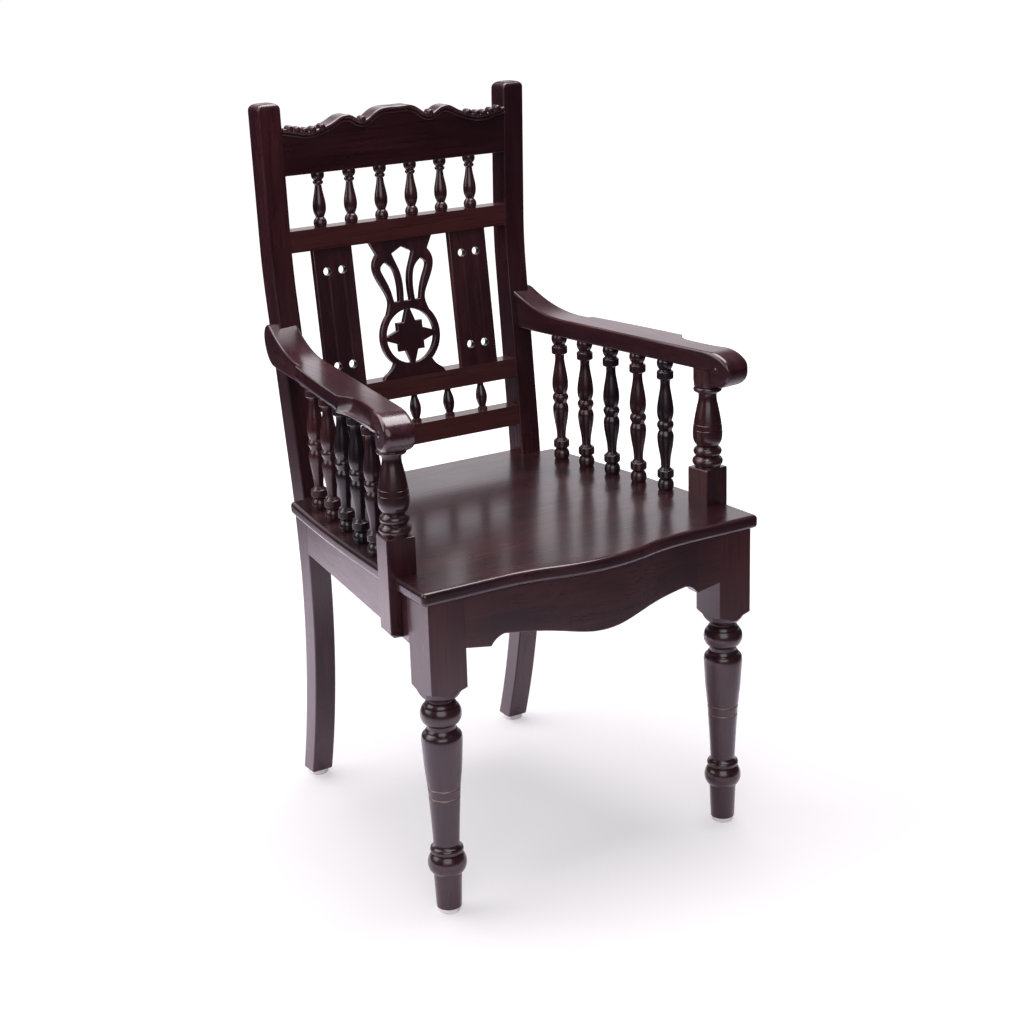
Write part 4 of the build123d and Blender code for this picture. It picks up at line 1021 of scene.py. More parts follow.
class ARMCHAIR_OT_splat(Operator):
    """Cut the pierced splat with its ring, star and teardrops"""

    bl_idname = "armchair.splat"
    bl_label = "Pierced splat"
    bl_options = UNDOABLE

    def execute(self, context):
        ease = context.scene.armchair_sizes.carving_ease / MM
        mesh = board([splat_outline(), *splat_openings()], SPLAT_THICK, ease, lean_axes(SPLAT_SETBACK), 3)
        finished("pierced_splat", mesh, finish_for(context, POST_WOOD), ["centre_splat"])
        return {"FINISHED"}


SLAT_MIDDLE = 109.6
SLAT_HALF = 30.5
SLAT_THICK = 10.0
SLAT_SETBACK = 1.0
HOLE_ACROSS = 11.9
HOLE_RADIUS = 5.7
HOLE_MARGIN = 32.0
GROOVE_RADIUS = 9.0
GROOVE_DEPTH = 0.45
GROOVE_MARGIN = 34.0


class ARMCHAIR_OT_slats(Operator):
    """Cut the two slats with their holes and scored lines"""

    bl_idname = "armchair.slats"
    bl_label = "Slats"
    bl_options = UNDOABLE

    def execute(self, context):
        ease = context.scene.armchair_sizes.slat_ease / MM
        place = lean_axes(SLAT_SETBACK)
        low, high = -SPLAT_OVERRUN, SPLAT_TALL + SPLAT_OVERRUN
        for side, label in SIDES:
            left, right = (side * SLAT_MIDDLE + u for u in (-SLAT_HALF, SLAT_HALF))
            loops, grooves = [[(left, low), (right, low), (right, high), (left, high)]], []
            for u in (side * SLAT_MIDDLE - HOLE_ACROSS, side * SLAT_MIDDLE + HOLE_ACROSS):
                for v in (HOLE_MARGIN, SPLAT_TALL - HOLE_MARGIN):
                    loops.append(on_circle((u, v), HOLE_RADIUS, 0, math.tau, 33)[:-1])
                round_cut = on_circle((u, GROOVE_RADIUS - GROOVE_DEPTH), GROOVE_RADIUS, 0, math.tau, 49)[:-1]
                grooves.append(loft([[place @ (Vector((x, v, z)) * MM) for x, z in round_cut]
                                     for v in (GROOVE_MARGIN, SPLAT_TALL - GROOVE_MARGIN)]))
            mesh = boolean(board(loops, SLAT_THICK, ease, place), joined(grooves), "DIFFERENCE")
            finished(f"scored_slat_{label}", mesh, finish_for(context, POST_WOOD), [f"side_slat_{label}"])
        return {"FINISHED"}


BOW_HALF = 150.0
SEAT_FRONT = -260.0
SEAT_BOW = 20.5
SEAT_CORNER = 6.0
SEAT_REAR = 187.4
SEAT_SIDE = ((-260.5, SEAT_FRONT), (-248.5, -36.3), (-221.0, SEAT_REAR))
SEAT_TONGUE = {"front": 150.0, "rear": 218.0, "drop": 0.02, "ease": 2.0}


def serpentine(flat, bow, half_line):
    """The bowed front line from right to left."""
    quarter = BOW_HALF / 2
    radius = (quarter ** 2 + (bow / 2) ** 2) / bow
    dip = radius - math.sqrt(radius ** 2 - (quarter / 2) ** 2)
    right = arc((BOW_HALF, flat), (quarter * 1.5, flat - dip), (quarter, flat - bow / 2), 10)
    middle = arc(right[-1], (0, flat - bow), (-quarter, flat - bow / 2), 20)
    left = arc(middle[-1], (-quarter * 1.5, flat - dip), (-BOW_HALF, flat), 10)
    return [(half_line, flat), (BOW_HALF, flat), *right, *middle, *left, (-half_line, flat)]


class ARMCHAIR_OT_seat(Operator):
    """Make the bow-fronted seat panel with its rounded edge"""

    bl_idname = "armchair.seat"
    bl_label = "Seat"
    bl_options = UNDOABLE

    def execute(self, context):
        front = serpentine(SEAT_FRONT, SEAT_BOW, -SEAT_SIDE[0][0])
        side_line = [SEAT_SIDE[0]] + arc(*SEAT_SIDE, 24)
        loop = eased([front[-2], SEAT_SIDE[0], side_line[2]], SEAT_CORNER, 6)[:-1] + side_line[2:-2]
        loop += eased([side_line[-2], SEAT_SIDE[-1], (0, SEAT_REAR)], SEAT_CORNER, 6)[:-1]
        loop = [p for p in loop if p[0] < 0]
        place = axes(place_at(0, 0, SEAT_TOP), (1, 0, 0), (0, 1, 0), (0, 0, 1))
        edge = context.scene.armchair_sizes.seat_edge / MM
        panel = board([flipped(loop) + front[1:-1] + loop], SEAT_TOP - SEAT_UNDER, edge, place, 5)
        half = post_inner(SEAT_TOP) + HIDDEN
        tongue = soft_block(-half, half, SEAT_TONGUE["front"], SEAT_TONGUE["rear"], SEAT_UNDER,
                            SEAT_TOP - SEAT_TONGUE["drop"], SEAT_TONGUE["ease"],
                            Matrix.Translation(place_at(0, 0, 0)))
        mesh = boolean(panel, tongue, "UNION")
        finished("bowed_seat", mesh, finish_for(context, RAIL_WOOD), ["seat_panel"], sharp=40)
        return {"FINISHED"}


# The front apron's lower edge on the right, from the leg to the middle.
APRON_LEG_END = (LEG_INNER + HIDDEN, 369.5)
APRON_EAR = ((162.0, 363.0), (155.0, 370.5), (142.0, 376.0))
APRON_SWAG = ((142.0, 376.0), (98.0, 370.25), (58.2, 363.45), (24.1, 356.3), (0.0, 354.5))
APRON_BOW = 19.0
APRON_STEP = 0.4
APRON_EASES = {"front": 1.4, "rear": 1.5, "side": 1.6}
FRONT_APRON_DEEP = 22.0
REAR_APRON_FRONT = 197.0


def apron_edge():
    """The front apron's shaped lower edge from the right leg to the left one."""
    ear = [APRON_LEG_END, APRON_EAR[0], *arc(*APRON_EAR, 10)]
    return ear + spline([*APRON_SWAG, *flipped(APRON_SWAG[:-1])], 8) + flipped(ear)


class ARMCHAIR_OT_aprons(Operator):
    """Make the aprons under the seat: the bowed and shaped front, the plain sides and rear"""

    bl_idname = "armchair.aprons"
    bl_label = "Aprons"
    bl_options = UNDOABLE

    def execute(self, context):
        wood = finish_for(context, RAIL_WOOD)
        front = serpentine(LEG_FRONT, APRON_BOW, LEG_INNER + HIDDEN)[::-1]
        back = LEG_FRONT + FRONT_APRON_DEEP
        rings = []
        for x, low in reversed(clean_loop(apron_edge(), APRON_STEP)):
            loop = soft_rectangle(height_at(x, front), back, low, SEAT_UNDER, APRON_EASES["front"])
            rings.append([place_at(x, y, z) for y, z in loop])
        finished("shaped_front_apron", loft(rings), wood, ["front_apron"])
        half = post_inner(APRON_MIDDLE) + HIDDEN
        place = axes(place_at(-half, 0, 0), (0, 1, 0), (0, 0, 1), (1, 0, 0))
        rear = soft_block(REAR_APRON_FRONT, REAR_APRON_FRONT + APRON_THICK, APRON_UNDER, SEAT_UNDER,
                          0, 2 * half, APRON_EASES["rear"], place)
        finished("plain_rear_apron", rear, wood, ["rear_apron"])
        for side, label in SIDES:
            place = axes(side_place(0, 0, 0, side), (-side * SIDE_SIN, SIDE_COS, 0), (0, 0, 1),
                         (side * SIDE_COS, SIDE_SIN, 0))
            mesh = soft_block(-SIDE_RUN - HIDDEN, HIDDEN, APRON_UNDER, SEAT_UNDER, -APRON_THICK, 0,
                              APRON_EASES["side"], place)
            finished(f"plain_side_apron_{label}", mesh, finish_for(context, ARM_WOOD),
                     [f"side_apron_{label}"])
        return {"FINISHED"}


# The leg's and the arm post's profiles give radii in millimetres and shares of the turned height.
LEG_SCORES = (0.507, 0.549)
LEG_SHANK = (
    (16.5, 0),
    ("curve", (17.16, 0.0452), (18.0082, 0.1161), (18.5934, 0.1581)),
    ("line", (21.4965, 0.1645)),
    ("arc", (25.5, 0.2045), (21.012, 0.2452)),
    ("line", (19.4978, 0.2484)),
    ("arc", (21.9982, 0.2645), (18.487, 0.2806)),
    ("line", (17.0, 0.2903)),
    ("curve", (17.51, 0.329), (20.5086, 0.503)),
    ("line", (19.6308, LEG_SCORES[0]), (20.615, 0.511), (21.28, 0.545), (20.3224, LEG_SCORES[1]),
     (21.4928, 0.553)),
    ("curve", (24.4188, 0.6451), (26.201, 0.735), (26.6, 0.766), (25.004, 0.789), (21.28, 0.8)),
    ("line", (20.5086, 0.8081), (18.5934, 0.8145), (18.5934, 0.829)),
    ("arc", (26.8, 0.8774), (23.2088, 0.9129)),
    ("line", (21.6008, 0.9145)),
    ("arc", (19.8052, 0.9274), (16.5, 0.9355)),
    ("line", (16.5, 0.96)),
)
LEG_POMMEL = (
    (14.5, 0.9387),
    ("line", (16.5, 0.9387)),
    ("arc", (24.4992, 0.9613), (28.9872, 0.9871)),
    ("line", (38.016, 1.0016), (38.016, (SEAT_UNDER - GLIDE_TOP) / LEG_TURNED)),
)
LEG_BLOCK_LOW = GLIDE_TOP + 0.9 * LEG_TURNED
LEG_BLOCK_HIGH = SEAT_UNDER + 0.5
LEG_BLOCK_EASE = 1.6
POMMEL_STEPS = 64
SHANK_EXTRA_STEPS = 8
SCORE_BAND = 0.1


class ARMCHAIR_OT_front_legs(Operator):
    """Turn the front legs below their square blocks"""

    bl_idname = "armchair.front_legs"
    bl_label = "Front legs"
    bl_options = UNDOABLE

    def execute(self, context):
        wood = finish_for(context, POST_WOOD)
        steps = context.scene.armchair_sizes.turning_steps + SHANK_EXTRA_STEPS
        shank, pommel = (turning(p, 1, GLIDE_TOP, LEG_TURNED) for p in (LEG_SHANK, LEG_POMMEL))
        scores = [(GLIDE_TOP + share * LEG_TURNED) * MM for share in LEG_SCORES]
        half = LEG_SQUARE / 2
        for side, label in SIDES:
            axis = place_at(side * LEG_X, LEG_Y, 0)
            block = soft_block(-half, half, -half, half, LEG_BLOCK_LOW, LEG_BLOCK_HIGH, LEG_BLOCK_EASE,
                               Matrix.Translation(axis))
            block = boolean(block, turned_row(pommel, axis, wood, POMMEL_STEPS), "INTERSECT")
            mesh = joined([block, turned_row(shank, axis, wood, steps)])
            mark(mesh, "scored", lambda p: any(abs(p.z - z) < SCORE_BAND * MM for z in scores))
            finished(f"turned_front_leg_{label}", mesh, wood, [f"front_leg_{label}"])
        return {"FINISHED"}


# An arm is drawn in its side's own frame: X outward, Y backward from the back post's front.
ARM_INNER = -16.5
ARM_OUTER = 24.5
ARM_NOSE = (-385.0, 646.0)
NOSE_RADIUS = 24.0
NOSE_SLOPE = 38.0
NOSE_ROUND = 7.0
NOSE_SOFTER = {"from": -384.0, "to": -362.0, "ease": 3.0}
ARM_FRONT = ARM_NOSE[0] - NOSE_RADIUS
SCROLL_STEP = (-375.6, -375.3)
SWOOP_Y = -75.0
TIP_Y = 44.0
TIP_RISE = 30.0
TIP_RADIUS = 17.0
TIP_UNDER = {"from": 28.0, "middle": 53.5, "sag": 7.0}
WING_FRONT = -269.0
WING_REAR = -90.0
WING_REACH = 8.0
WING_SWELL = 5.4
WING_SET_IN = 2.2
WING_TOP_EASE = 2.0
# Points down the wing's edge, as steps out from it and down from the arm's top.
WING_EDGE = ((0.8, 7.5), (1.7, 13.0), (1.9, 15.2), (0.2, 18.6), (-3.2, 21.2))
# The hollowed edge, as distance ahead of the wing, then how far out its upper and lower corners are.
COVE = (
    (0, 34.0, 37.5), (5, 30.5, 36.0), (12, 25.0, 33.5), (20, 20.8, 31.2), (32, 19.2, 29.4),
    (50, 18.4, 28.0), (75, 18.8, 26.4), (103, 21.5, 24.8), (140, 22.0, 24.5),
)
COVE_TOP = ((-2.2, 0.0), (-0.7, 0.5), (0.0, 2.0))
COVE_LIP = ((0.2, 20.6), (-0.8, 22.0))
COVE_DEEP = 17.5
COVE_TURN = 1.5
COVE_UNDER = ARM_OUTER - 1.8
COVE_ENDS = (-382.0, -352.0)
EYE = ((4.6, -1.0), ("line", (4.6, 0.1)), ("arc", (3.4, 0.9), (0.2, 1.3)))
EYE_STEPS = 28


def arm_lines():
    """The arm's lower and upper lines in side view, each from the nose back to the swept tip."""
    drop = TIP_RISE - TIP_RADIUS
    radius = ((TIP_Y - SWOOP_Y) ** 2 - TIP_RADIUS ** 2 + drop ** 2) / (2 * TIP_RISE)
    tip = Vector((TIP_Y, ARM_TOP + drop))
    swoop = Vector((SWOOP_Y, ARM_TOP + radius))
    toward = (tip - swoop).normalized()
    meet = swoop + toward * radius
    swoop_middle = swoop + (toward + Vector((0, -1))).normalized() * radius
    tip_middle = tip + (Vector((1, 0)) - toward).normalized() * TIP_RADIUS
    end = (TIP_Y + TIP_RADIUS, tip.y)
    low = on_circle(ARM_NOSE, NOSE_RADIUS, math.pi, math.pi + QUARTER, 24)
    low += [(SCROLL_STEP[0], ARM_NOSE[1] - NOSE_RADIUS), (SCROLL_STEP[1], ARM_UNDER)]
    low += [(TIP_UNDER["from"], ARM_UNDER)]
    middle = (TIP_UNDER["middle"], (tip.y + ARM_UNDER) / 2 - TIP_UNDER["sag"])
    low += arc(low[-1], middle, end, 12)
    high = [(ARM_FRONT + NOSE_SLOPE * (1 - math.cos(a)), ARM_NOSE[1] + NOSE_RADIUS * math.sin(a))
            for a in np.linspace(0, QUARTER, 30)]
    high += [(SWOOP_Y, ARM_TOP)]
    high += arc(high[-1], swoop_middle, meet, 16) + arc(meet, tip_middle, end, 18)
    return low, high


def evenly(start, end, steps):
    """Points after a start up to an end, evenly apart."""
    return [tuple(a + (b - a) * k / steps for a, b in zip(start, end)) for k in range(1, steps + 1)]


def eased_side(x, inward, low, high, ease):
    """A plain side of the arm, from its top to its bottom, with both corners rounded."""
    ease = min(ease, 0.49 * (high - low))
    turns = np.linspace(0, QUARTER, 6)
    points = [(x + inward * ease * (1 - math.sin(a)), high - ease * (1 - math.cos(a))) for a in turns]
    points += evenly((x, high - ease), (x, low + ease), 4)[:-1]
    return points + [(x + inward * ease * (1 - math.cos(a)), low + ease * (1 - math.sin(a))) for a in turns]


def wing_side(reach, low, high):
    """The arm's deep edge, which stands out past the spindles."""
    edge = ARM_OUTER + reach - WING_SET_IN
    points = [(edge - WING_TOP_EASE * (1 - math.sin(a)), high - WING_TOP_EASE * (1 - math.cos(a)))
              for a in np.linspace(0, QUARTER, 5)]
    points += [(edge + out, high - down) for out, down in WING_EDGE]
    return points + evenly(points[-1], (ARM_OUTER, low), 5)


def cove_side(arris, lip, low, high):
    """The hollowed edge between the wing and the nose."""
    points = [(arris + out, high - down) for out, down in COVE_TOP]
    points += [(arris + (lip - arris) * (1 - math.cos(a)), points[2][1] - COVE_DEEP * math.sin(a))
               for a in np.linspace(0, COVE_TURN, 8)[1:]]
    points += [(lip + out, high - down) for out, down in COVE_LIP]
    return points + evenly(points[-1], (COVE_UNDER, low), 3)


def arm_section(y, low, high, ease):
    """Points round the arm at a place along it."""
    ends = NOSE_SOFTER["from"], NOSE_SOFTER["to"]
    soft = ease + float(np.interp(y, ends, (NOSE_SOFTER["ease"], 0)))
    room = min((y - ARM_FRONT) / NOSE_ROUND, 1)
    inset = NOSE_ROUND * (1 - math.sqrt(1 - (1 - room) ** 2))
    inner = eased_side(ARM_INNER + inset, 1, low, high, soft)
    outer = eased_side(ARM_OUTER - inset, -1, low, high, soft)
    if WING_FRONT < y < WING_REAR:
        share = (y - WING_FRONT) / (WING_REAR - WING_FRONT)
        outer = wing_side(WING_REACH + WING_SWELL * (1 - share ** 2), low, high)
    elif y <= WING_FRONT:
        ahead, arrises, lips = zip(*COVE)
        arris, lip = (float(np.interp(WING_FRONT - y, ahead, line)) for line in (arrises, lips))
        plain = float(np.interp(y, COVE_ENDS, (1, 0)))
        plain *= plain * (3 - 2 * plain)
        hollow = cove_side(arris, lip, low, high)
        outer = [tuple(a + (b - a) * plain for a, b in zip(*pair)) for pair in zip(hollow, outer)]
    return outer + inner[::-1]


def arm_places():
    """Where along the arm its sections are taken, closer together where it turns."""
    places = [ARM_FRONT + NOSE_SLOPE * (1 - math.cos(a)) for a in np.linspace(0.05, QUARTER, 26)]
    places += [*SCROLL_STEP, *np.linspace(-370, -271, 30)]
    places += [end + step for end in (WING_FRONT, WING_REAR) for step in (-0.2, 0.2)]
    places += [*np.linspace(WING_FRONT + 6, WING_REAR - 6, 24), *np.linspace(-80, TIP_Y, 30)]
    places += [TIP_Y + TIP_RADIUS * math.sin(a) for a in np.linspace(0.1, 1.5, 12)]
    return sorted(places)


class ARMCHAIR_OT_arms(Operator):
    """Shape the arms with their scrolled noses, rolled and hollowed edges and upswept rear ends"""

    bl_idname = "armchair.arms"
    bl_label = "Arms"
    bl_options = UNDOABLE

    def execute(self, context):
        wood = finish_for(context, ARM_WOOD)
        ease = context.scene.armchair_sizes.arm_ease / MM
        lines = arm_lines()
        sections = [(y, arm_section(y, *(height_at(y, line) for line in lines), ease)) for y in arm_places()]
        eye = drawn(*EYE)
        for side, label in SIDES:
            parts = [loft([[side_place(x, y, z, side) for x, z in loop] for y, loop in sections])]
            for x, turn in ((ARM_OUTER, 1), (ARM_INNER, -1)):
                out = Vector((side * turn * SIDE_COS, turn * SIDE_SIN, 0))
                lean = Vector((0, 0, 1)).rotation_difference(out).to_euler()
                parts.append(turned_row(eye, side_place(x, *ARM_NOSE, side), wood, EYE_STEPS, lean=lean))
            finished(f"scrolled_arm_{label}", joined(parts), wood, [f"arm_{label}"], sharp=38)
        return {"FINISHED"}


ARM_POST_Y = -356.0
ARM_POST_FOOT = 505.0
ARM_POST_TALL = ARM_UNDER - ARM_POST_FOOT
ARM_POST_OUT = -2.0
ARM_POST_PROFILE = (
    (17.493, -1 / ARM_POST_TALL),
    ("line", (17.493, 0.02)),
    ("arc", (21.0, 0.06), (17.808, 0.1)),
    ("line", (16.002, 0.115), (16.506, 0.125)),
    ("arc", (19.404, 0.16), (16.401, 0.2)),
    ("line", (14.406, 0.215)),
    ("curve", (19.19, 0.275), (20.2, 0.325), (20.0384, 0.385)),
    ("line", (19.291, 0.39), (19.897, 0.395), (19.19, 0.44), (18.382, 0.445), (18.9476, 0.45)),
    ("curve", (17.5942, 0.51), (13.7022, 0.65), (12.3, 0.725), (12.9027, 0.76)),
    ("line", (15.9032, 0.768)),
    ("arc", (19.3, 0.795), (16.6945, 0.822)),
    ("line", (18.2964, 0.83), (19.3, 0.9), (19.3, 1 + 0.5 / ARM_POST_TALL)),
)
POST_BLOCK_HALF = 18.5
POST_BLOCK_CHAMFER = 379.5
POST_BLOCK_EASE = 1.3
POST_BLOCK = (
    (0, 372.5), (10.5, 372.5), (17.5, POST_BLOCK_CHAMFER), (17.5, 503.8), (16.3, ARM_POST_FOOT),
    (-20.3, ARM_POST_FOOT), (-21.5, 503.8), (-21.5, 450), (0, 450),
)


def chamfer_ends(mesh, middle, back):
    """Draw a block's foot in at both ends, below the chamfer's top."""
    for v in mesh.vertices:
        low = POST_BLOCK_CHAMFER * MM - v.co.z
        off = (v.co - middle).dot(back)
        limit = POST_BLOCK_HALF * MM - low
        if low > 0 and abs(off) > limit:
            v.co += back * (math.copysign(limit, off) - off)


class ARMCHAIR_OT_arm_posts(Operator):
    """Turn the arm posts above the blocks that lap over the side aprons"""

    bl_idname = "armchair.arm_posts"
    bl_label = "Arm posts"
    bl_options = UNDOABLE

    def execute(self, context):
        wood = finish_for(context, POST_WOOD)
        steps = context.scene.armchair_sizes.turning_steps
        profile = turning(ARM_POST_PROFILE, 1, ARM_POST_FOOT, ARM_POST_TALL)
        for side, label in SIDES:
            back = Vector((-side * SIDE_SIN, SIDE_COS, 0))
            place = axes(side_place(0, ARM_POST_Y - POST_BLOCK_HALF, 0, side),
                         (side * SIDE_COS, SIDE_SIN, 0), (0, 0, 1), -back)
            block = board([POST_BLOCK], 2 * POST_BLOCK_HALF, POST_BLOCK_EASE, place)
            chamfer_ends(block, side_place(0, ARM_POST_Y, 0, side), back)
            first = side_place(ARM_POST_OUT, ARM_POST_Y, 0, side)
            mesh = joined([block, turned_row(profile, first, wood, steps)])
            finished(f"turned_arm_post_{label}", mesh, wood, [f"arm_post_{label}"])
        return {"FINISHED"}


ARM_SPINDLES = 5
ARM_SPINDLE_RADIUS = 11.7
ARM_SPINDLE_TALL = ARM_UNDER - SEAT_TOP
ARM_SPINDLE_OUT = -4.5
# The two rearmost spindles' places. The others follow at the same spacing.
ARM_SPINDLE_PLACES = (-54.0, -109.5)
ARM_SPINDLE_PROFILE = (
    (0.82, 0),
    ("arc", (0.98, 0.038), (0.8, 0.076)),
    ("line", (0.66, 0.084), (0.8, 0.095)),
    ("arc", (0.95, 0.099), (0.99, 0.108)),
    ("line", (0.99, 0.143)),
    ("arc", (0.95, 0.152), (0.8, 0.156)),
    ("line", (6.5 / ARM_SPINDLE_RADIUS, 0.174)),
    ("curve", (0.6, 0.227), (0.81, 0.311), (0.98, 0.392), (0.92, 0.437), (0.76, 0.458)),
    ("line", (0.86, 0.477)),
    ("arc", (1, 0.502), (0.86, 0.527)),
    ("line", (0.76, 0.534)),
    ("curve", (0.92, 0.563), (1, 0.605), (0.92, 0.668), (0.7, 0.752), (0.58, 0.826), (0.6, 0.844)),
    ("line", (0.8, 0.852)),
    ("arc", (0.95, 0.856), (0.99, 0.865)),
    ("line", (0.99, 0.901)),
    ("arc", (0.95, 0.91), (0.8, 0.914)),
    ("line", (0.7, 0.924), (0.8, 0.934)),
    ("arc", (0.98, 0.966), (0.88, 1 + 0.3 / ARM_SPINDLE_TALL)),
)
# Turnings that took a darker stain, counted from 0 at the back.
DARK_SPINDLES = {"left": (2, 3), "right": (2, 4)}


class ARMCHAIR_OT_arm_spindles(Operator):
    """Turn the five spindles under each arm"""

    bl_idname = "armchair.arm_spindles"
    bl_label = "Arm spindles"
    bl_options = UNDOABLE

    def execute(self, context):
        wood = finish_for(context, POST_WOOD)
        steps = context.scene.armchair_sizes.turning_steps
        profile = turning(ARM_SPINDLE_PROFILE, ARM_SPINDLE_RADIUS, 0, ARM_SPINDLE_TALL)
        for side, label in SIDES:
            first, second = (side_place(ARM_SPINDLE_OUT, y, SEAT_TOP, side) for y in ARM_SPINDLE_PLACES)
            spacing = second - first
            mesh = turned_row(profile, first, wood, steps, ARM_SPINDLES, spacing)
            mark(mesh, "stained", lambda p: round(
                (p - first).dot(spacing) / spacing.length_squared) in DARK_SPINDLES[label])
            finished(f"turned_arm_spindles_{label}", mesh, wood,
                     [f"arm_spindle_{i + 1}_{label}" for i in range(ARM_SPINDLES)])
        return {"FINISHED"}


GLIDE_PROFILE = (
    (11.0, 0),
    ("line", (12.6, 0.3), (13.9, 1.1), (14.6, 2.2), (14.8, 3.4), (14.8, 6.2)),
    ("arc", (14.4, 7.4), (13.2, GLIDE_TOP)),
    ("line", (12.6, GLIDE_TOP + 0.3)),
)
GLIDE_STEPS = 36
GLIDE_PLACES = {"front": (LEG_X, LEG_Y), "rear": (post_outer(GLIDE_TOP) - POST_WIDE / 2, 251.0)}


class ARMCHAIR_OT_glides(Operator):
    """Make the rounded nylon glides under the four feet"""

    bl_idname = "armchair.glides"
    bl_label = "Glides"
    bl_options = UNDOABLE

    def execute(self, context):
        finish = finish_for(context, NYLON)
        profile = drawn(*GLIDE_PROFILE)
        for side, label in SIDES:
            for end, (x, y) in GLIDE_PLACES.items():
                mesh = turned_row(profile, place_at(side * x, y, 0), finish, GLIDE_STEPS)
                finished(f"round_{end}_glide_{label}", mesh, finish, [f"{end}_glide_{label}"])
        return {"FINISHED"}


HIDDEN_FINISHES = {"screws": STEEL, "nails": STEEL, "corner_block": ARM_WOOD}


class ARMCHAIR_OT_hidden_parts(Operator):
    """Finish the corner blocks, screws and nails that the frame already shapes"""

    bl_idname = "armchair.hidden_parts"
    bl_label = "Blocks and screws"
    bl_options = UNDOABLE

    def execute(self, context):
        for name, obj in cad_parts.items():
            kinds = [kind for word, kind in HIDDEN_FINISHES.items() if word in name]
            if kinds:
                obj.data.materials.clear()
                obj.data.materials.append(finish_for(context, kinds[0]))
        return {"FINISHED"}


# Stage. Places are in metres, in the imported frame.

FLOOR_HALF = 14.0
FLOOR_SEEN = (0.50, 0.485, 0.50, 1)
FALLOFF_CENTRE = (-0.3, 0.1, 0.0)
FALLOFF_REACH = 2.6
FALLOFF_TINT = (0.97, 0.89, 1.0)
# The floor's colour at distances from the centre of its pale patch: painted shade, pale near the chair and
# nearly black further out, where the studio is unlit.
PAINTED_SHADE_TONES = ((0.0, 0.97), (0.85, 0.97), (1.1, 0.76), (1.3, 0.4), (1.45, 0.2), (1.75, 0.1), (2.1, 0.1),
               (2.6, 0.04))
STUDIO_COLOUR = (0.99, 0.92, 1.0, 1)
WHITE = (1.0, 1.0, 1.0, 1.0)
LAMP_COLOUR = (1.0, 0.95, 0.985)
# Each lamp's place, the spot that it is turned to, its width and its power in watts.
LAMPS = {
    "left_softbox": ((-2.0, 0.75, 1.5), (-0.3, 0.3, 0.3), 1.6, 20),
    "back_softbox": ((-0.9, 1.2, 2.4), (-0.8, 1.0, 0), 1.8, 36),
    "top_softbox": ((0.3, 0.1, 2.7), (-0.1, 0.0, 0), 1.6, 70),
    "front_fill": ((-1.6, -3.0, 2.4), (0, 0, 0.5), 3.0, 68),
}
CAMERA_PLACE = (-1.34950, -2.23923, 1.28563)
CAMERA_TURN = {"azimuth": -31.5587, "elevation": 17.8280, "roll": -1.8097}
CAMERA_SENSOR = 36.0
CAMERA_FOCAL_SHARE = 1981.226 / 1024
CAMERA_REACH = 100.0


def seen_white(tree, part_of_mirror):
    """Share of white: all of it to the eye and through glass, and a part in mirror images."""
    path = node(tree, "ShaderNodeLightPath").outputs
    direct = maths(tree, "MAXIMUM", path["Is Camera Ray"], path["Is Transmission Ray"])
    return maths(tree, "MAXIMUM", direct, maths(tree, "MULTIPLY", path["Is Glossy Ray"], part_of_mirror))


def distance(tree, place, centre):
    return node(tree, "ShaderNodeVectorMath", {0: place, 1: centre}, operation="DISTANCE").outputs["Value"]


def studio_floor_finish():
    """White floor to the eye that keeps the chair's shadow. In reflections and bounced light its colour
    darkens with distance from the chair, toward the front of the studio too: painted shade.
    """
    material = bpy.data.materials.new("white_floor")
    material.use_nodes = True
    tree = material.node_tree
    tree.nodes.clear()
    place = node(tree, "ShaderNodeTexCoord").outputs["Object"]
    away = distance(tree, place, FALLOFF_CENTRE)
    # Painted shade: the floor's colour falls from pale near the chair to nearly black further out.
    tones = [(at / FALLOFF_REACH, shaded(FALLOFF_TINT, level)) for at, level in PAINTED_SHADE_TONES]
    colour = ramp(tree, spread(tree, away, 0.0, FALLOFF_REACH, 0.0, 1.0), *tones)
    painted_shade_floor = node(tree, "ShaderNodeBsdfDiffuse", {"Color": colour})
    pale = node(tree, "ShaderNodeBsdfDiffuse", {"Color": FLOOR_SEEN})
    far = distance(tree, place, (0.0, 0.0, 0.0))
    glow = node(tree, "ShaderNodeEmission", {"Strength": spread(tree, far, 0.8, 2.2, 0.46, 1.0)})
    seen = node(tree, "ShaderNodeAddShader", {0: pale.outputs[0], 1: glow.outputs[0]})
    mix = node(tree, "ShaderNodeMixShader", {
        0: seen_white(tree, spread(tree, away, 0.9, 1.4, 0.12, 0.0)),
        1: painted_shade_floor.outputs[0], 2: seen.outputs[0],
    })
    node(tree, "ShaderNodeOutputMaterial", {0: mix.outputs[0]})
    return material


def studio_world():
    """White behind the chair, with the soft light of a studio that is dimmer overhead and in front."""
    world = bpy.data.worlds.new("studio")
    world.use_nodes = True
    tree = world.node_tree
    tree.nodes.clear()
    direction = node(tree, "ShaderNodeTexCoord").outputs["Generated"]
    x, y, z = node(tree, "ShaderNodeSeparateXYZ", {0: direction}).outputs
    behind = maths(tree, "ADD", maths(tree, "MULTIPLY", x, 0.5), maths(tree, "MULTIPLY", y, 0.85))
    behind = spread(tree, behind, 0.62, 0.88, 0.0, 1.0)
    low = maths(tree, "MULTIPLY", spread(tree, z, 0.36, 0.50, 1.0, 0.0), spread(tree, z, 0.10, 0.17, 0.0, 1.0))
    open_back = maths(tree, "MULTIPLY", behind, low)
    level = spread(tree, open_back, 0.0, 1.0, 0.06, 1.05)
    soft = node(tree, "ShaderNodeBackground", {"Color": STUDIO_COLOUR, "Strength": level})
    white = node(tree, "ShaderNodeBackground", {"Color": WHITE})
    mix = node(tree, "ShaderNodeMixShader", {
        0: seen_white(tree, maths(tree, "MULTIPLY", open_back, 0.4)),
        1: soft.outputs[0], 2: white.outputs[0],
    })
    node(tree, "ShaderNodeOutputWorld", {0: mix.outputs[0]})
    return world


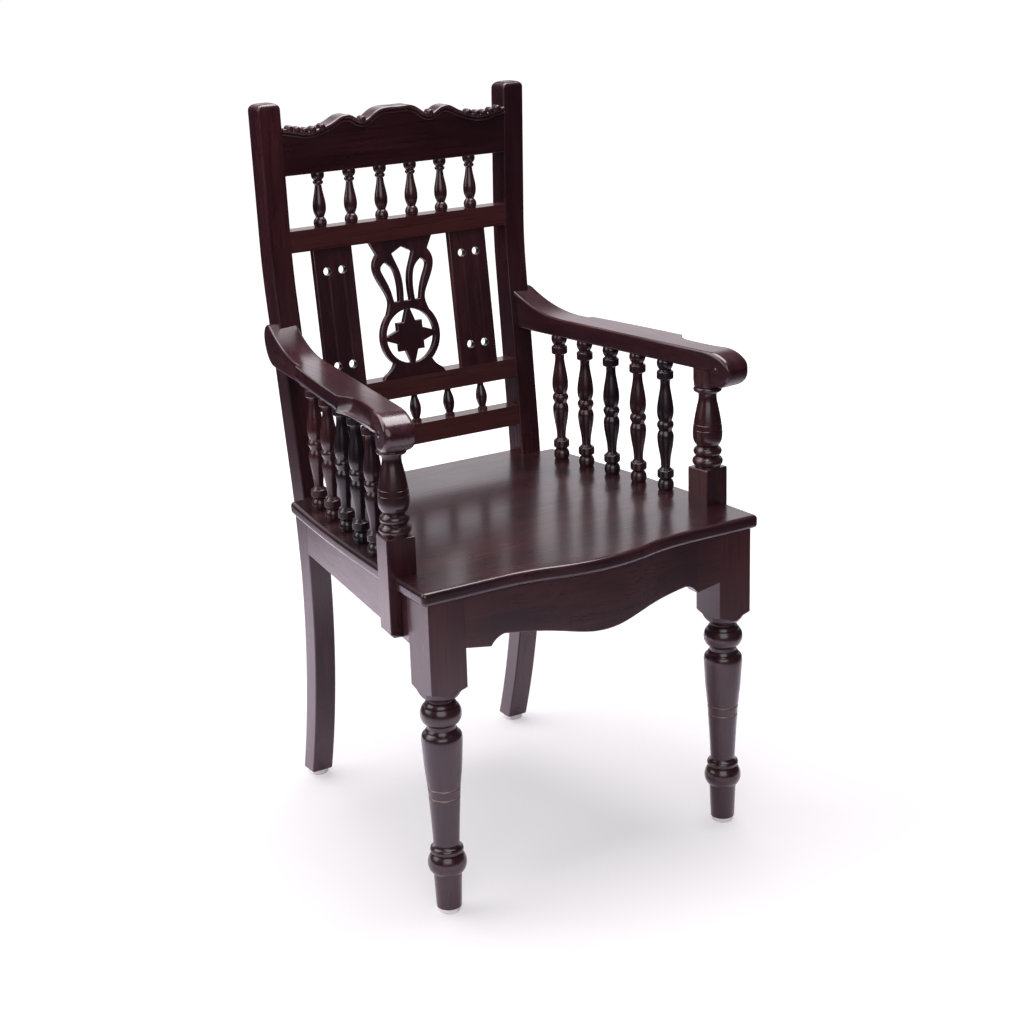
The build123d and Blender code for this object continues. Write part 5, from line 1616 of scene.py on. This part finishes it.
def soft_lamp(name, place, target, width, power):
    """A square lamp turned to a spot."""
    data = bpy.data.lights.new(name, "AREA")
    data.shape = "SQUARE"
    data.size = width
    data.energy = power
    data.color = LAMP_COLOUR
    lamp = bpy.data.objects.new(name, data)
    lamp.location = place
    lamp.rotation_euler = (Vector(target) - Vector(place)).to_track_quat("-Z", "Y").to_euler()
    return lamp


def photo_camera():
    """The camera where the photograph's was."""
    camera = bpy.data.cameras.new("photo_view")
    camera.sensor_width = CAMERA_SENSOR
    camera.lens = CAMERA_FOCAL_SHARE * CAMERA_SENSOR
    camera.clip_end = CAMERA_REACH
    azimuth, elevation, roll = (math.radians(v) for v in CAMERA_TURN.values())
    back = Vector((math.sin(azimuth) * math.cos(elevation), -math.cos(azimuth) * math.cos(elevation),
                   math.sin(elevation)))
    right = Vector((math.cos(azimuth), math.sin(azimuth), 0))
    up = back.cross(right)
    c, s = math.cos(roll), math.sin(roll)
    obj = bpy.data.objects.new("photo_view", camera)
    obj.matrix_world = axes(CAMERA_PLACE, c * right + s * up, c * up - s * right, back)
    return obj


class ARMCHAIR_OT_stage(Operator):
    """Set the white floor, the soft studio light and the camera"""

    bl_idname = "armchair.stage"
    bl_label = "Stage"
    bl_options = UNDOABLE

    def execute(self, context):
        scene = context.scene
        bm = bmesh.new()
        bmesh.ops.create_grid(bm, x_segments=1, y_segments=1, size=FLOOR_HALF)
        mesh = plain_mesh(bm)
        mesh.name = "studio_floor"
        mesh.materials.append(studio_floor_finish())
        floor = bpy.data.objects.new("studio_floor", mesh)
        scene.collection.objects.link(floor)
        scene.world = studio_world()
        for name, settings in LAMPS.items():
            scene.collection.objects.link(soft_lamp(name, *settings))
        scene.camera = photo_camera()
        scene.collection.objects.link(scene.camera)
        scene.view_settings.view_transform = "Standard"
        return {"FINISHED"}


OPERATORS = (
    ARMCHAIR_OT_back_posts,
    ARMCHAIR_OT_back_rails,
    ARMCHAIR_OT_crest,
    ARMCHAIR_OT_crest_spindles,
    ARMCHAIR_OT_lower_spindles,
    ARMCHAIR_OT_splat,
    ARMCHAIR_OT_slats,
    ARMCHAIR_OT_seat,
    ARMCHAIR_OT_aprons,
    ARMCHAIR_OT_front_legs,
    ARMCHAIR_OT_arms,
    ARMCHAIR_OT_arm_posts,
    ARMCHAIR_OT_arm_spindles,
    ARMCHAIR_OT_glides,
    ARMCHAIR_OT_hidden_parts,
    ARMCHAIR_OT_stage,
)


class ARMCHAIR_PT_pieces(Panel):
    """Lists the chair's pieces, sizes and colours"""

    bl_idname = "ARMCHAIR_PT_pieces"
    bl_label = "Armchair"
    bl_space_type = "VIEW_3D"
    bl_region_type = "UI"
    bl_category = "Armchair"

    def draw(self, context):
        layout = self.layout
        for group in (context.scene.armchair_sizes, context.scene.armchair_finish):
            for name in group.__annotations__:
                layout.prop(group, name)
        for operator in OPERATORS:
            layout.operator(operator.bl_idname)


CLASSES = (ArmchairSizes, ArmchairFinish, *OPERATORS, ARMCHAIR_PT_pieces)


def register():
    for kind in CLASSES:
        bpy.utils.register_class(kind)
    bpy.types.Scene.armchair_sizes = PointerProperty(type=ArmchairSizes)
    bpy.types.Scene.armchair_finish = PointerProperty(type=ArmchairFinish)


def unregister():
    del bpy.types.Scene.armchair_finish
    del bpy.types.Scene.armchair_sizes
    for kind in reversed(CLASSES):
        bpy.utils.unregister_class(kind)


def main():
    register()
    for operator in OPERATORS:
        group, name = operator.bl_idname.split(".")
        getattr(getattr(bpy.ops, group), name)()


if __name__ == "__main__":
    main()
